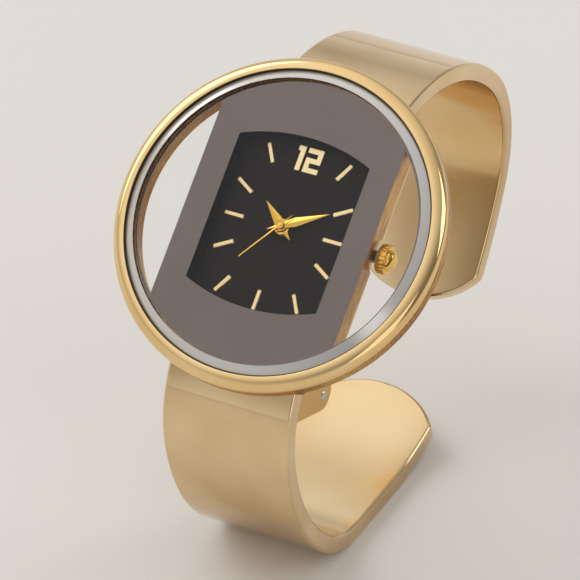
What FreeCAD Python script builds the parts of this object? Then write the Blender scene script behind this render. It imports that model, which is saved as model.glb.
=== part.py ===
import FreeCAD
import Part
import math
import os

V = FreeCAD.Vector

# Everything is drawn in the frame of the face: x to 3 o'clock, y to 12 o'clock, z out of the dial.
# The last step leans the watch back and stands it on its lower arm.

# Stand
face_lean = 41.1

# Bezel ring
ring_radius = 20.0
ring_face_width = 1.6
ring_edge_level = -1.25
ring_top_level = 0.1
ring_lip_level = -0.02
ring_crown_radius = 1.45
ring_seat_drop = 0.2
ring_lip_radius = ring_radius - ring_face_width

# Case: a back ring and a box across it, in one casting
band_setback = 0.15
band_wall = 2.7
band_back_level = -3.3
band_edge_break = 0.15
ledge_fit = 0.05
box_half_width = 11.6
box_overlap = 0.6
box_edge_level = -3.9
box_end_setback = 6.8
box_wall = 1.0
dial_room_end_wall = 1.6
dial_room_corner = 1.5
lower_case_step = 1.2
lower_case_corner = 1.5
lower_case_level = -5.7
lower_case_root = 0.5
lower_case_wall = 0.8
module_room_end_wall = 1.0
module_room_corner = 3.0
dial_seat_level = -3.3
band_radius = ring_radius - band_setback
band_inner_radius = band_radius - band_wall
ledge_radius = ring_lip_radius - ledge_fit
box_half_length = ring_radius - box_end_setback
dial_room_half_width = box_half_width - box_wall
dial_room_half_length = box_half_length - dial_room_end_wall
lower_case_half_width = box_half_width - lower_case_step
module_room_half_width = lower_case_half_width - lower_case_wall
module_room_half_length = box_half_length - module_room_end_wall

# Case back
back_level = -6.5
back_step_height = 0.5
back_step_wall = 0.8
back_bevel = 0.3
back_rim = 0.03
gasket_clearance = 0.05
back_gasket_width = 0.5
back_gasket_height = 0.45
back_screw_side_margin = 1.1
back_screw_end_margin = 1.0
back_screw_radius = 0.5
back_screw_head_radius = 0.8
back_screw_head_height = 0.35
back_screw_length = 1.9
back_screw_slot = 0.22
back_screw_slot_depth = 0.16
back_screw_clearance = 0.02
back_screw_tip_gap = 0.1
back_step_setback = back_gasket_width + 2 * gasket_clearance
back_step_half_width = module_room_half_width - back_step_setback
back_step_half_length = module_room_half_length - back_step_setback
back_screw_x = lower_case_half_width - back_screw_side_margin
back_screw_y = box_half_length - back_screw_end_margin

# Crystal
crystal_fit = 0.15
crystal_facet_width = 1.05
crystal_top_level = 0.2
crystal_facet_height = 0.6
crystal_thickness = 0.9
crystal_gasket_height = 0.45
crystal_gasket_fit = 0.01
crystal_radius = ring_lip_radius - crystal_fit
crystal_flat_radius = crystal_radius - crystal_facet_width
crystal_seat_level = crystal_top_level - crystal_thickness

# Mirror mask behind the crystal
mask_edge = 0.1
mask_gap = 0.02
mask_thickness = 0.06
mask_shadow_gap = 0.02
side_window_margin = 0.1
side_window_rim = 0.33
mask_radius = crystal_flat_radius - mask_edge
side_window_half_gap = box_half_width + side_window_margin
side_window_radius = mask_radius - side_window_rim
film_top_level = crystal_seat_level - mask_gap
film_level = film_top_level - mask_thickness
box_top_level = film_level - mask_shadow_gap
dial_window_half_width = 8.33
dial_window_half_length = 8.92
dial_window_bulge = 1.62

# Dial
dial_level = -2.9
dial_thickness = 0.4
dial_fit = 0.25
dial_hole_radius = 0.95
dial_groove_pitch = 0.62
dial_groove_width = 0.2
dial_groove_depth = 0.05
dial_groove_end = 0.5
spacer_margin = 0.25
spacer_clearance = 0.15
dial_half_width = dial_room_half_width - dial_fit
dial_half_length = dial_room_half_length - dial_fit
marker_side_distance = 6.3
marker_corner_distance = 9.4
marker_foot_distance = 8.9
baton_length = 2.5
baton_width = 0.52
baton_height = 0.16
baton_bevel = 0.07
figure_foot = 6.95
figure_height = 2.95
figure_stroke = 0.6
figure_flag = 0.3
figure_width = 1.9
figure_gap = 0.36

# Hands
hour_hand_level = -2.3
minute_hand_level = -1.95
second_hand_level = -1.6
hand_thickness = 0.12
hand_tail_half_width = 0.03
hour_hand_length = 3.8
hour_hand_tail = 2.0
hour_hand_half_width = 0.6
hour_hand_wide_at = 0.65
hour_hand_hub = 0.95
minute_hand_length = 5.9
minute_hand_tail = 1.7
minute_hand_half_width = 0.56
minute_hand_wide_at = 1.75
minute_hand_hub = 0.62
second_hand_length = 5.95
second_hand_tail = 1.85
second_hand_half_width = 0.09
second_hand_hub = 0.42
hour_hand_angle = 139.5
minute_hand_angle = 28.5
second_hand_angle = 234.7

# Motion work and train
arbor_radius = 0.14
cannon_radius = 0.5
cannon_bore = 0.18
hour_pipe_radius = 0.8
hour_pipe_bore = 0.55
pipe_step = 0.12
motion_module = 0.1
cannon_teeth = 10
minute_wheel_teeth = 30
minute_pinion_teeth = 8
hour_wheel_teeth = 32
minute_wheel_angle = 270.0
centre_module = 0.07
centre_wheel_teeth = 64
third_pinion_teeth = 8
third_wheel_teeth = 60
seconds_pinion_teeth = 8
third_angle = 165.0
seconds_module = 0.085
seconds_wheel_teeth = 50
drive_pinion_teeth = 10
drive_angle = 40.0
drive_module = 0.06
drive_wheel_teeth = 60
rotor_pinion_teeth = 10
wheel_thickness = 0.13
rotor_radius = 0.72
rotor_height = 0.24
rotor_gap = 0.05
hand_arbor_cap_radius = 0.24
hand_arbor_cap_height = 0.12
motion_gap = 0.06
hour_wheel_lift = 0.25
wheel_stack_gap = 0.03
cannon_pinion_overlap = 0.02
cannon_neck_step = 0.06
hour_pipe_seat = 0.3
minute_pipe_seat = 0.2
centre_wheel_drop = 0.25
third_wheel_drop = 0.5
seconds_wheel_drop = 0.73
pivot_end_gap = 0.05
pivot_upper_reach = 0.2

# Movement frame
module_half_width = 7.65
module_half_length = 8.9
module_corner = 1.2
module_top_level = -3.35
module_back_level = -5.08
bridge_level = -5.3
motion_floor_level = -3.98
train_floor_level = -4.3
wheel_clearance = 0.2
holder_clearance = 0.05
pivot_radius = 0.12
pivot_hole_clearance = 0.02
bridge_hole_clearance = 0.04
bridge_screw_radius = 0.245
bridge_screw_head_radius = 0.455
bridge_screw_slot = 0.14
bridge_screw_slot_depth = 0.1
bridge_screw_tip_gap = 0.05
bridge_screw_head_height = 0.2
bridge_screw_length = 1.1
bridge_outline = [(-6.6, -0.9), (5.2, -0.9), (5.2, 6.2), (-6.6, 6.2)]
board_outline = [(0.4, -8.4), (7.1, -8.4), (7.1, -1.2), (0.4, -1.2)]
screw_places = [(-6.1, 5.6), (4.6, 1.25), (-6.1, -0.4), (6.5, -7.9), (4.3, -1.9)]
board_gap = 0.02

# Battery and circuit
battery_x = -3.9
battery_y = -5.2
battery_radius = 3.4
battery_height = 2.1
battery_back_level = -5.52
battery_room_gap = 0.1
battery_clip_thickness = 0.08
battery_step_height = 0.45
battery_cap_step = 0.7
battery_insulator_height = 0.1
battery_insulator_inset = 0.2
battery_strap_outline = [(-5.6, -6.4), (0.4, -6.4), (1.4, -5.2), (1.4, -4.2), (-5.6, -4.2)]
battery_strap_foot = [(0.5, -5.6), (1.4, -5.6), (1.4, -4.2), (0.5, -4.2)]
quartz_x = 5.9
quartz_y = -5.0
quartz_radius = 0.72
quartz_length = 5.0
quartz_fit = 0.03
quartz_corner = 0.15
quartz_room_level = -3.56
chip_size = 1.6
chip_height = 0.45
chip_x = 2.5
chip_y = -6.5
chip_room_gap = 0.1
coil_y = 7.2
coil_half_length = 4.0
coil_radius = 0.78
coil_core_half_length = 5.4
coil_core_width = 0.6
coil_core_height = 0.34
stator_thickness = 0.15
stator_level = -4.6
stator_bore = 0.92
stator_ring_width = 0.5
stator_half_length = 5.6
stator_arm_width = 0.9
stator_bar_low = 4.2
stator_bar_high = 5.5
stator_arm_end = 7.6
stator_room_gap = 0.1
coil_room_gap = 0.1

# Crown and stem
stem_level = -4.1
crown_radius = 1.75
crown_gap = 0.4
crown_drum_length = 1.1
crown_dome_height = 0.85
crown_dome_step = 0.5
crown_flutes = 24
crown_flute_radius = 0.13
crown_room_radius = 2.05
crown_room_depth = 0.7
tube_radius = 0.78
tube_bore = 0.5
tube_overlap = 0.5
crown_start = box_half_width + crown_gap
crown_shoulder = crown_start + crown_drum_length
crown_end = crown_shoulder + crown_dome_height
crown_room_floor = box_half_width - crown_room_depth
tube_end = crown_start + tube_overlap
crown_seal_radius = 1.05
crown_seal_depth = 0.85
crown_seal_inset = 0.1
crown_seal_width = 0.35
seal_clearance = 0.02
stem_radius = 0.45
stem_bite = 0.2
stem_square = 0.56
stem_square_start = 3.5
stem_square_end = 6.3
stem_pilot_start = 2.95
stem_pilot_radius = 0.2
clutch_start = 4.6
clutch_end = 5.8
clutch_radius = 0.72
clutch_clearance = 0.03
clutch_groove_start = 5.1
clutch_groove_end = 5.35
clutch_groove_depth = 0.18
clutch_teeth = 10
clutch_tooth_radius = 0.09
clutch_tooth_length = 0.35
clutch_travel_room = 0.25
stem_room_gap = 0.1

# Cuff arms
arm_half_width = 8.1
arm_thickness = 2.2
arm_round = 0.35
tip_bulge = 4.4
lower_heading = 197.2
lower_bends = [(14.8, 41.0), (29.4, 38.8), (14.1, 41.9), (0.0, 8.0), (38.0, 24.3)]
upper_heading = -33.2
upper_bends = [(28.5, 23.4), (30.4, 30.7), (15.5, 67.4), (48.0, 20.0)]

# Hinges of the arms
pin_reach = 2.15
pin_y = box_half_length + pin_reach
lower_start = (-pin_y - 2.55, -4.0)
upper_start = (pin_y + 2.05, -5.2)
pin_level = -13.0
pin_radius = 0.6
pin_clearance = 0.03
pin_stand_out = 0.1
ear_radius = 1.9
ear_start = 6.25
ear_thickness = 1.4
ear_root_depth = 1.2
ear_root_start = 0.9
ear_root_middle = 2.4
ear_root_end = 4.2
block_half_width = 5.9
block_barrel_radius = 1.7
block_seat_gap = 0.02
block_neck_thickness = 0.73
block_neck_end = -12.0
block_top_level = -3.32
web_inner_level = -6.9
web_outer_level = -7.4
web_low_level = -12.4
web_outer_reach = 1.42
web_outer_end = -12.07
block_neck_inner = box_half_length + block_seat_gap
block_neck_outer = block_neck_inner + block_neck_thickness
spring_slot_half_width = 3.2
spring_slot_radius = 2.35
spring_mouth_top = -7.0
spring_mouth_neck = -10.6
spring_mouth_shoulder = -11.5
spring_mouth_low = -17.0
spring_mouth_reach = 4.0
spring_mouth_step = 0.4
spring_wire_radius = 0.22
spring_coil_radius = 1.3
spring_pitch = 1.0
spring_turns = 4
spring_leg_rest = 1.2


def rounded_rect(half_x, half_y, corner, low, high):
    """A plate with rounded corners between two levels."""
    block = Part.makeBox(2 * half_x, 2 * half_y, high - low, V(-half_x, -half_y, low))
    edges = [e for e in block.Edges if abs(e.tangentAt(e.FirstParameter).z) > 0.99]
    return block.makeFillet(corner, edges)


def disc(radius, low, high, x=0.0, y=0.0):
    """A round plate between two levels."""
    return Part.makeCylinder(radius, high - low, V(x, y, low), V(0, 0, 1))


def rod_x(radius, start, end, y=0.0, z=0.0):
    """A round bar along x."""
    return Part.makeCylinder(radius, end - start, V(start, y, z), V(1, 0, 0))


def plate(points, low, high):
    """A plate with straight sides between two levels."""
    corners = [V(x, y, low) for x, y in points]
    wire = Part.makePolygon(corners + [corners[0]])
    return Part.Face(wire).extrude(V(0, 0, high - low))


def turned(points):
    """A ring or disc turned about z from points of radius and level."""
    corners = [V(r, 0, z) for r, z in points]
    wire = Part.makePolygon(corners + [corners[0]])
    return Part.Face(wire).revolve(V(0, 0, 0), V(0, 0, 1), 360)


def spin(shape, angle, x=0.0, y=0.0):
    """A copy turned about a line along z."""
    copy = shape.copy()
    copy.rotate(V(x, y, 0), V(0, 0, 1), angle)
    return copy


def polar(distance, angle):
    """A point at a distance and an angle from the middle of the dial."""
    turn = math.radians(angle)
    return distance * math.cos(turn), distance * math.sin(turn)


def barrel(half_x, half_y, bulge, low, high):
    """A plate with straight sides and arched top and bottom."""
    corners = [V(-half_x, -half_y, low), V(half_x, -half_y, low), V(half_x, half_y, low), V(-half_x, half_y, low)]
    bottom = Part.Arc(corners[0], V(0, -half_y - bulge, low), corners[1]).toShape()
    right = Part.makeLine(corners[1], corners[2])
    top = Part.Arc(corners[2], V(0, half_y + bulge, low), corners[3]).toShape()
    left = Part.makeLine(corners[3], corners[0])
    return Part.Face(Part.Wire([bottom, right, top, left])).extrude(V(0, 0, high - low))


def gear(teeth, module, low, high, x, y, phase):
    """A toothed disc with one tooth pointing along the phase angle."""
    pitch_radius = teeth * module / 2
    tip = pitch_radius + 0.9 * module
    root = pitch_radius - 1.2 * module
    step = 360.0 / teeth
    points = []
    for tooth in range(teeth):
        middle = phase + tooth * step
        for radius, share in ((root, -0.28), (pitch_radius, -0.2), (tip, -0.08),
                              (tip, 0.08), (pitch_radius, 0.2), (root, 0.28)):
            px, py = polar(radius, middle + share * step)
            points.append((x + px, y + py))
    return plate(points, low, high)


def meshing(teeth, angle):
    """The phase that turns a gap of the driven gear to the gear at the other end of the angle."""
    return angle + 180.0 - 180.0 / teeth


def fused(shapes):
    """One solid from pieces that share volume."""
    first = shapes[0]
    return first.fuse(shapes[1:]).removeSplitter()


def walk(start, heading, bends, side):
    """The arcs of an arm: start, heading, centre, radius and sweep of each, with radius 0 for a straight run."""
    x, y = start
    angle = math.radians(heading)
    arcs = []
    for radius, sweep in bends:
        if radius == 0.0:
            arcs.append((x, y, angle, x, y, radius, sweep))
            x += sweep * math.cos(angle)
            y += sweep * math.sin(angle)
            continue
        cx = x + side * radius * math.sin(angle)
        cy = y - side * radius * math.cos(angle)
        arcs.append((x, y, angle, cx, cy, radius, sweep))
        turn = -side * math.radians(sweep)
        dx, dy = x - cx, y - cy
        x = cx + dx * math.cos(turn) - dy * math.sin(turn)
        y = cy + dx * math.sin(turn) + dy * math.cos(turn)
        angle += turn
    arcs.append((x, y, angle, 0.0, 0.0, 0.0, 0.0))
    return arcs


def arm_section(x, y, angle, side):
    """The rounded rectangle across an arm, its outer face at the given point."""
    inward = V(0, side * math.sin(angle), -side * math.cos(angle))
    along = V(1, 0, 0)
    origin = V(0, x, y)
    w = arm_half_width
    t = arm_thickness
    r = arm_round
    k = r * (1 - math.sqrt(0.5))

    def at(a, b):
        return origin + along * a + inward * b

    edges = [Part.makeLine(at(-w + r, 0), at(w - r, 0)),
             Part.Arc(at(w - r, 0), at(w - k, k), at(w, r)).toShape(),
             Part.makeLine(at(w, r), at(w, t - r)),
             Part.Arc(at(w, t - r), at(w - k, t - k), at(w - r, t)).toShape(),
             Part.makeLine(at(w - r, t), at(-w + r, t)),
             Part.Arc(at(-w + r, t), at(-w + k, t - k), at(-w, t - r)).toShape(),
             Part.makeLine(at(-w, t - r), at(-w, r)),
             Part.Arc(at(-w, r), at(-w + k, k), at(-w + r, 0)).toShape()]
    return Part.Face(Part.Wire(edges))


def make_arm(start, heading, bends, side):
    """A cuff arm: arcs end to end, with a rounded free end."""
    arcs = walk(start, heading, bends, side)
    pieces = []
    for x, y, angle, cx, cy, radius, sweep in arcs[:-1]:
        face = arm_section(x, y, angle, side)
        if radius == 0.0:
            pieces.append(face.extrude(V(0, math.cos(angle) * sweep, math.sin(angle) * sweep)))
        else:
            pieces.append(face.revolve(V(0, cx, cy), V(-side, 0, 0), sweep))
    body = fused(pieces)
    x, y, angle = arcs[-1][:3]
    tip_radius = (arm_half_width ** 2 + tip_bulge ** 2) / (2 * tip_bulge)
    tip = V(0, x, y)
    forward = V(0, math.cos(angle), math.sin(angle))
    inward = V(0, side * math.sin(angle), -side * math.cos(angle))
    middle = tip - forward * tip_radius
    round_end = Part.makeCylinder(tip_radius, 4 * arm_thickness, middle - inward * (2 * arm_thickness), inward)
    reach = 2 * tip_bulge
    wall = Part.Face(Part.makePolygon([tip - V(arm_half_width * 2, 0, 0) - forward * tip_bulge,
                                       tip + V(arm_half_width * 2, 0, 0) - forward * tip_bulge,
                                       tip + V(arm_half_width * 2, 0, 0) + forward * reach,
                                       tip - V(arm_half_width * 2, 0, 0) + forward * reach,
                                       tip - V(arm_half_width * 2, 0, 0) - forward * tip_bulge]))
    wall.translate(inward * (-2 * arm_thickness))
    outside = wall.extrude(inward * (4 * arm_thickness)).cut(round_end)
    return body.cut(outside), arcs


def side_plate(points, start, end):
    """A plate across x with a straight-sided outline of y and level."""
    corners = [V(start, y, z) for y, z in points]
    wire = Part.makePolygon(corners + [corners[0]])
    return Part.Face(wire).extrude(V(end - start, 0, 0))


def tangent_points(px, py, cx, cy, radius):
    """The two points where lines from a point touch a circle."""
    dx, dy = px - cx, py - cy
    away = math.hypot(dx, dy)
    base = math.atan2(dy, dx)
    spread = math.acos(radius / away)
    first = (cx + radius * math.cos(base + spread), cy + radius * math.sin(base + spread))
    second = (cx + radius * math.cos(base - spread), cy + radius * math.sin(base - spread))
    return first, second


def make_ears(arcs, side):
    """Two ears inside an arm that hold the hinge pin."""
    py = side * pin_y
    pz = pin_level

    def on_arm(distance):
        left = distance
        for x, y, angle, cx, cy, radius, sweep in arcs[:-1]:
            length = radius * math.radians(sweep)
            if left <= length:
                turn = -side * left / radius
                dx, dy = x - cx, y - cy
                qx = cx + dx * math.cos(turn) - dy * math.sin(turn)
                qy = cy + dx * math.sin(turn) + dy * math.cos(turn)
                a = angle + turn
                return qx + side * math.sin(a) * ear_root_depth, qy - side * math.cos(a) * ear_root_depth
            left -= length
        return arcs[-1][0], arcs[-1][1]

    near = on_arm(ear_root_start)
    middle = on_arm(ear_root_middle)
    far = on_arm(ear_root_end)
    near_touch = tangent_points(near[0], near[1], py, pz, ear_radius)
    far_touch = tangent_points(far[0], far[1], py, pz, ear_radius)
    inner = min(near_touch, key=lambda p: abs(p[0]))
    outer = max(far_touch, key=lambda p: abs(p[0]))
    outline = [near, inner, (py, pz), outer, far, middle]
    ears = []
    for start in (ear_start, -ear_start - ear_thickness):
        web = side_plate(outline, start, start + ear_thickness)
        round_part = rod_x(ear_radius, start, start + ear_thickness, py, pz)
        ear = fused([web, round_part])
        ears.append(ear.cut(rod_x(pin_radius, start - 1, start + ear_thickness + 1, py, pz)))
    return ears


def make_block(side):
    """The hinge block that hangs from the end wall of the case."""
    py = side * pin_y
    neck = side_plate([(side * block_neck_inner, block_top_level), (side * block_neck_outer, block_top_level),
                       (side * block_neck_outer, block_neck_end), (side * block_neck_inner, block_neck_end)],
                      -block_half_width, block_half_width)
    web = side_plate([(side * block_neck_outer, web_outer_level), (side * (pin_y + web_outer_reach), web_outer_end),
                      (side * pin_y, pin_level), (side * block_neck_inner, web_low_level),
                      (side * block_neck_inner, web_inner_level)],
                     -block_half_width, block_half_width)
    knuckle = rod_x(block_barrel_radius, -block_half_width, block_half_width, py, pin_level)
    block = fused([neck, web, knuckle])
    slot = rod_x(spring_slot_radius, -spring_slot_half_width, spring_slot_half_width, py, pin_level)
    mouth_outer = side * (pin_y + spring_mouth_reach)
    mouth_inner = side * (pin_y - spring_mouth_step)
    mouth_neck = side * (block_neck_outer + block_seat_gap)
    mouth = side_plate([(mouth_neck, spring_mouth_top), (mouth_outer, spring_mouth_top),
                        (mouth_outer, spring_mouth_low), (mouth_inner, spring_mouth_low),
                        (mouth_inner, spring_mouth_shoulder), (mouth_neck, spring_mouth_neck)],
                       -spring_slot_half_width, spring_slot_half_width)
    bore = rod_x(pin_radius + pin_clearance, -block_half_width - 1, block_half_width + 1, py, pin_level)
    return block.cut(slot).cut(mouth).cut(bore)


def arc_middle(start, heading, end):
    """The middle of the arc that leaves a point along a heading and ends at another point."""
    chord = end - start
    across = chord - heading * chord.dot(heading)
    across.normalize()
    radius = chord.Length ** 2 / (2 * chord.dot(across))
    centre = start + across * radius
    halfway = (start - centre) + (end - centre)
    halfway.normalize()
    return centre + halfway * radius


def coil_path(turns, radius, pitch, first_angle, first_x, y, z):
    """A coil about a line along x, as two tangent arcs for each quarter turn, with its places and headings."""
    rise = pitch / (2 * math.pi)
    places = []
    for step in range(4 * turns + 1):
        turn = first_angle + step * math.pi / 2
        place = V(first_x + pitch * step / 4, y + radius * math.cos(turn), z + radius * math.sin(turn))
        heading = V(rise, -radius * math.sin(turn), radius * math.cos(turn))
        heading.normalize()
        places.append((place, heading))
    edges = []
    for (start, out), (end, into) in zip(places, places[1:]):
        span = end - start
        both = out + into
        bend = 2 * (1 - out.dot(into))
        reach = (math.sqrt(span.dot(both) ** 2 + bend * span.dot(span)) - span.dot(both)) / bend
        joint = (start + end + (out - into) * reach) * 0.5
        edges.append(Part.Arc(start, arc_middle(start, out, joint), joint).toShape())
        edges.append(Part.Arc(joint, arc_middle(end, into * -1, joint), end).toShape())
    return edges, places


def make_spring(arcs, side):
    """A torsion spring on the pin with one leg against the arm."""
    py = side * pin_y
    x, y, angle = arcs[0][:3]
    inset = arm_thickness + spring_wire_radius
    rest_y = x + side * math.sin(angle) * inset + math.cos(angle) * spring_leg_rest
    rest_z = y - side * math.cos(angle) * inset + math.sin(angle) * spring_leg_rest
    away = math.hypot(rest_y - py, rest_z - pin_level)
    towards = math.atan2(rest_z - pin_level, rest_y - py)
    turn_way = -side
    last_angle = turn_way * towards - math.acos(spring_coil_radius / away)
    first_x = -spring_pitch * spring_turns / 2
    edges, places = coil_path(spring_turns, spring_coil_radius, spring_pitch, last_angle, first_x, 0.0, 0.0)
    last, heading = places[-1]
    leg_length = math.sqrt(away ** 2 - spring_coil_radius ** 2) / math.hypot(heading.y, heading.z)
    edges.append(Part.makeLine(last, last + heading * leg_length))
    profile = Part.Wire(Part.makeCircle(spring_wire_radius, places[0][0], places[0][1]))
    spring = Part.Wire(edges).makePipeShell([profile], True, False)
    length = sum(edge.Length for edge in edges)
    print("spring volume over section times length",
          round(spring.Volume / (math.pi * spring_wire_radius ** 2 * length), 4),
          "gap", round(spring_pitch - 2 * spring_wire_radius, 3))
    if turn_way < 0:
        spring = spring.mirror(V(0, 0, 0), V(0, 0, 1))
    spring.translate(V(0, py, pin_level))
    return spring


def arm_pin(side):
    """A hinge pin with slightly rounded ends."""
    end = ear_start + ear_thickness + pin_stand_out
    pin = rod_x(pin_radius, -end, end, side * pin_y, pin_level)
    return pin.makeChamfer(pin_stand_out, [e for e in pin.Edges if e.isClosed()])


def hand(length, tail, half_width, wide_at, level, angle, hub, bore):
    """A hand with a long pointed blade and a short pointed tail."""
    outline = [(length, 0.0), (wide_at, half_width), (-tail, hand_tail_half_width),
               (-tail, -hand_tail_half_width), (wide_at, -half_width)]
    blade = plate(outline, level, level + hand_thickness)
    body = blade.fuse(disc(hub, level, level + hand_thickness)).removeSplitter()
    return spin(body.cut(disc(bore, level - 1, level + 1)), angle)


def baton(x, y, angle):
    """A flat marker with bevelled long sides."""
    half = baton_length / 2
    block = Part.makeBox(baton_length, baton_width, baton_height, V(-half, -baton_width / 2, dial_level))
    tops = [e for e in block.Edges if e.BoundBox.ZMin > dial_level + baton_height / 2]
    block = block.makeChamfer(baton_bevel, tops)
    block.rotate(V(0, 0, 0), V(0, 0, 1), angle)
    block.translate(V(x, y, 0))
    return block


# Bezel ring
ring_seat_level = ring_edge_level - ring_seat_drop
crown_centre = V(ring_radius - ring_crown_radius, 0, ring_top_level - ring_crown_radius)
ring_top = V(crown_centre.x, 0, ring_top_level)
ring_side = V(ring_radius, 0, crown_centre.z)
slant = math.sqrt(0.5) * ring_crown_radius
ring_middle = V(crown_centre.x + slant, 0, crown_centre.z + slant)
ring_edges = [Part.makeLine(V(ring_lip_radius, 0, ring_lip_level), ring_top),
              Part.Arc(ring_top, ring_middle, ring_side).toShape(),
              Part.makeLine(ring_side, V(band_radius, 0, ring_seat_level)),
              Part.makeLine(V(band_radius, 0, ring_seat_level), V(ring_lip_radius, 0, ring_seat_level)),
              Part.makeLine(V(ring_lip_radius, 0, ring_seat_level), V(ring_lip_radius, 0, ring_lip_level))]
bezel_ring = Part.Face(Part.Wire(ring_edges)).revolve(V(0, 0, 0), V(0, 0, 1), 360)

# Case body
band = turned([(band_inner_radius, band_back_level), (band_radius - band_edge_break, band_back_level),
               (band_radius, band_back_level + band_edge_break), (band_radius, ring_seat_level),
               (ledge_radius, ring_seat_level), (ledge_radius, crystal_seat_level),
               (band_inner_radius, crystal_seat_level)])
across = Part.makeBox(2 * box_half_width, 2 * ring_radius, box_top_level - band_back_level,
                      V(-box_half_width, -ring_radius, band_back_level))
across = across.common(disc(band_inner_radius + box_overlap, band_back_level, box_top_level))
box = Part.makeBox(2 * box_half_width, 2 * box_half_length, box_top_level - box_edge_level,
                   V(-box_half_width, -box_half_length, box_edge_level))
lower_case = rounded_rect(lower_case_half_width, box_half_length, lower_case_corner,
                          lower_case_level, box_edge_level + lower_case_root)
case_body = fused([band, across, box, lower_case])
dial_room = rounded_rect(dial_room_half_width, dial_room_half_length, dial_room_corner, dial_seat_level, 1.0)
module_room = rounded_rect(module_room_half_width, module_room_half_length, module_room_corner,
                           lower_case_level - 1, dial_seat_level + 0.01)
crown_room = rod_x(crown_room_radius, crown_room_floor, box_half_width + 2, 0, stem_level)
tube_hole = rod_x(tube_radius, module_room_half_width - 1, crown_room_floor + 1, 0, stem_level)
case_body = case_body.cut(dial_room).cut(module_room).cut(crown_room).cut(tube_hole)

# Case back, its gasket and screws
back_plate = rounded_rect(lower_case_half_width, box_half_length, lower_case_corner,
                          back_level, lower_case_level)
low_edges = [e for e in back_plate.Edges if e.BoundBox.ZMax < back_level + 0.01]
back_plate = back_plate.makeChamfer(back_bevel, low_edges)
back_step = rounded_rect(back_step_half_width, back_step_half_length, module_room_corner - back_step_setback,
                         back_level + back_bevel, lower_case_level + back_step_height)
back_hollow = rounded_rect(back_step_half_width - back_step_wall, back_step_half_length - back_step_wall,
                           module_room_corner - back_step_setback - back_step_wall, lower_case_level + back_rim,
                           lower_case_level + 2 * back_step_height)
case_back = fused([back_plate, back_step]).cut(back_hollow)
gasket_outer = rounded_rect(module_room_half_width - gasket_clearance, module_room_half_length - gasket_clearance,
                            module_room_corner, lower_case_level, lower_case_level + back_gasket_height)
gasket_inner = rounded_rect(back_step_half_width + gasket_clearance, back_step_half_length + gasket_clearance,
                            module_room_corner - back_gasket_width, lower_case_level - 1, lower_case_level + 1)
back_gasket = gasket_outer.cut(gasket_inner)
back_screws = []
for sx in (-1, 1):
    for sy in (-1, 1):
        x = sx * back_screw_x
        y = sy * back_screw_y
        head_top = back_level + back_screw_head_height
        shank = disc(back_screw_radius, back_level, back_level + back_screw_length, x, y)
        head = disc(back_screw_head_radius, back_level, head_top, x, y)
        slot = Part.makeBox(4 * back_screw_radius, back_screw_slot, 2 * back_screw_slot_depth,
                            V(x - 2 * back_screw_radius, y - back_screw_slot / 2, back_level - back_screw_slot_depth))
        back_screws.append(head.fuse(shank).removeSplitter().cut(slot))
        case_back = case_back.cut(disc(back_screw_head_radius + back_screw_clearance, back_level - 1, head_top, x, y))
        case_back = case_back.cut(disc(back_screw_radius + back_screw_clearance, back_level - 1,
                                       lower_case_level + 1, x, y))
        case_body = case_body.cut(disc(back_screw_radius, back_level - 1,
                                       back_level + back_screw_length + back_screw_tip_gap, x, y))

# Crystal and its gasket
crystal = turned([(0.0, crystal_seat_level), (crystal_radius, crystal_seat_level),
                  (crystal_radius, crystal_top_level - crystal_facet_height),
                  (crystal_flat_radius, crystal_top_level), (0.0, crystal_top_level)])
crystal_gasket_inner = crystal_radius + crystal_gasket_fit
crystal_gasket_outer = ring_lip_radius - crystal_gasket_fit
crystal_gasket = turned([(crystal_gasket_inner, crystal_seat_level), (crystal_gasket_outer, crystal_seat_level),
                         (crystal_gasket_outer, crystal_seat_level + crystal_gasket_height),
                         (crystal_gasket_inner, crystal_seat_level + crystal_gasket_height)])

# Mirror mask with its dial window and two side windows
film = disc(mask_radius, film_level, film_top_level)
side_windows = disc(side_window_radius, film_level - 1, 1).cut(
    rounded_rect(side_window_half_gap, 2 * mask_radius, mask_edge, film_level - 2, 2))
dial_window = barrel(dial_window_half_width, dial_window_half_length, dial_window_bulge, film_level - 1, 1)
mirror_mask = film.cut(side_windows).cut(dial_window)

# Spacer wall between mask and dial
spacer_outer = rounded_rect(dial_room_half_width - spacer_clearance, dial_room_half_length - spacer_clearance,
                            dial_room_corner, dial_level, box_top_level)
spacer_inner = barrel(dial_window_half_width + spacer_margin, dial_window_half_length + spacer_margin,
                      dial_window_bulge, dial_level - 1, 1)
dial_spacer = spacer_outer.cut(spacer_inner)

# Dial with its fine upright grooves
dial = rounded_rect(dial_half_width, dial_half_length, dial_room_corner, dial_level - dial_thickness, dial_level)
dial = dial.cut(disc(dial_hole_radius, dial_level - 1, dial_level + 1))
groove_count = int(dial_window_half_width / dial_groove_pitch)
grooves = []
for number in range(-groove_count, groove_count + 1):
    left = number * dial_groove_pitch - dial_groove_width / 2
    grooves.append(Part.makeBox(dial_groove_width, 2 * (dial_half_length - dial_groove_end), 1.0,
                                V(left, dial_groove_end - dial_half_length, dial_level - dial_groove_depth)))
dial = dial.cut(Part.makeCompound(grooves))

# Hour markers: eleven batons, each pointing to the middle of the dial
hour_markers = []
for hour in range(1, 12):
    angle = 90.0 - 30.0 * hour
    if hour == 6:
        distance = marker_foot_distance
    elif hour in (1, 5, 7, 11):
        distance = marker_corner_distance
    else:
        distance = marker_side_distance / abs(math.cos(math.radians(angle)))
    x, y = polar(distance, angle)
    hour_markers.append(baton(x, y, angle))

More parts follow.
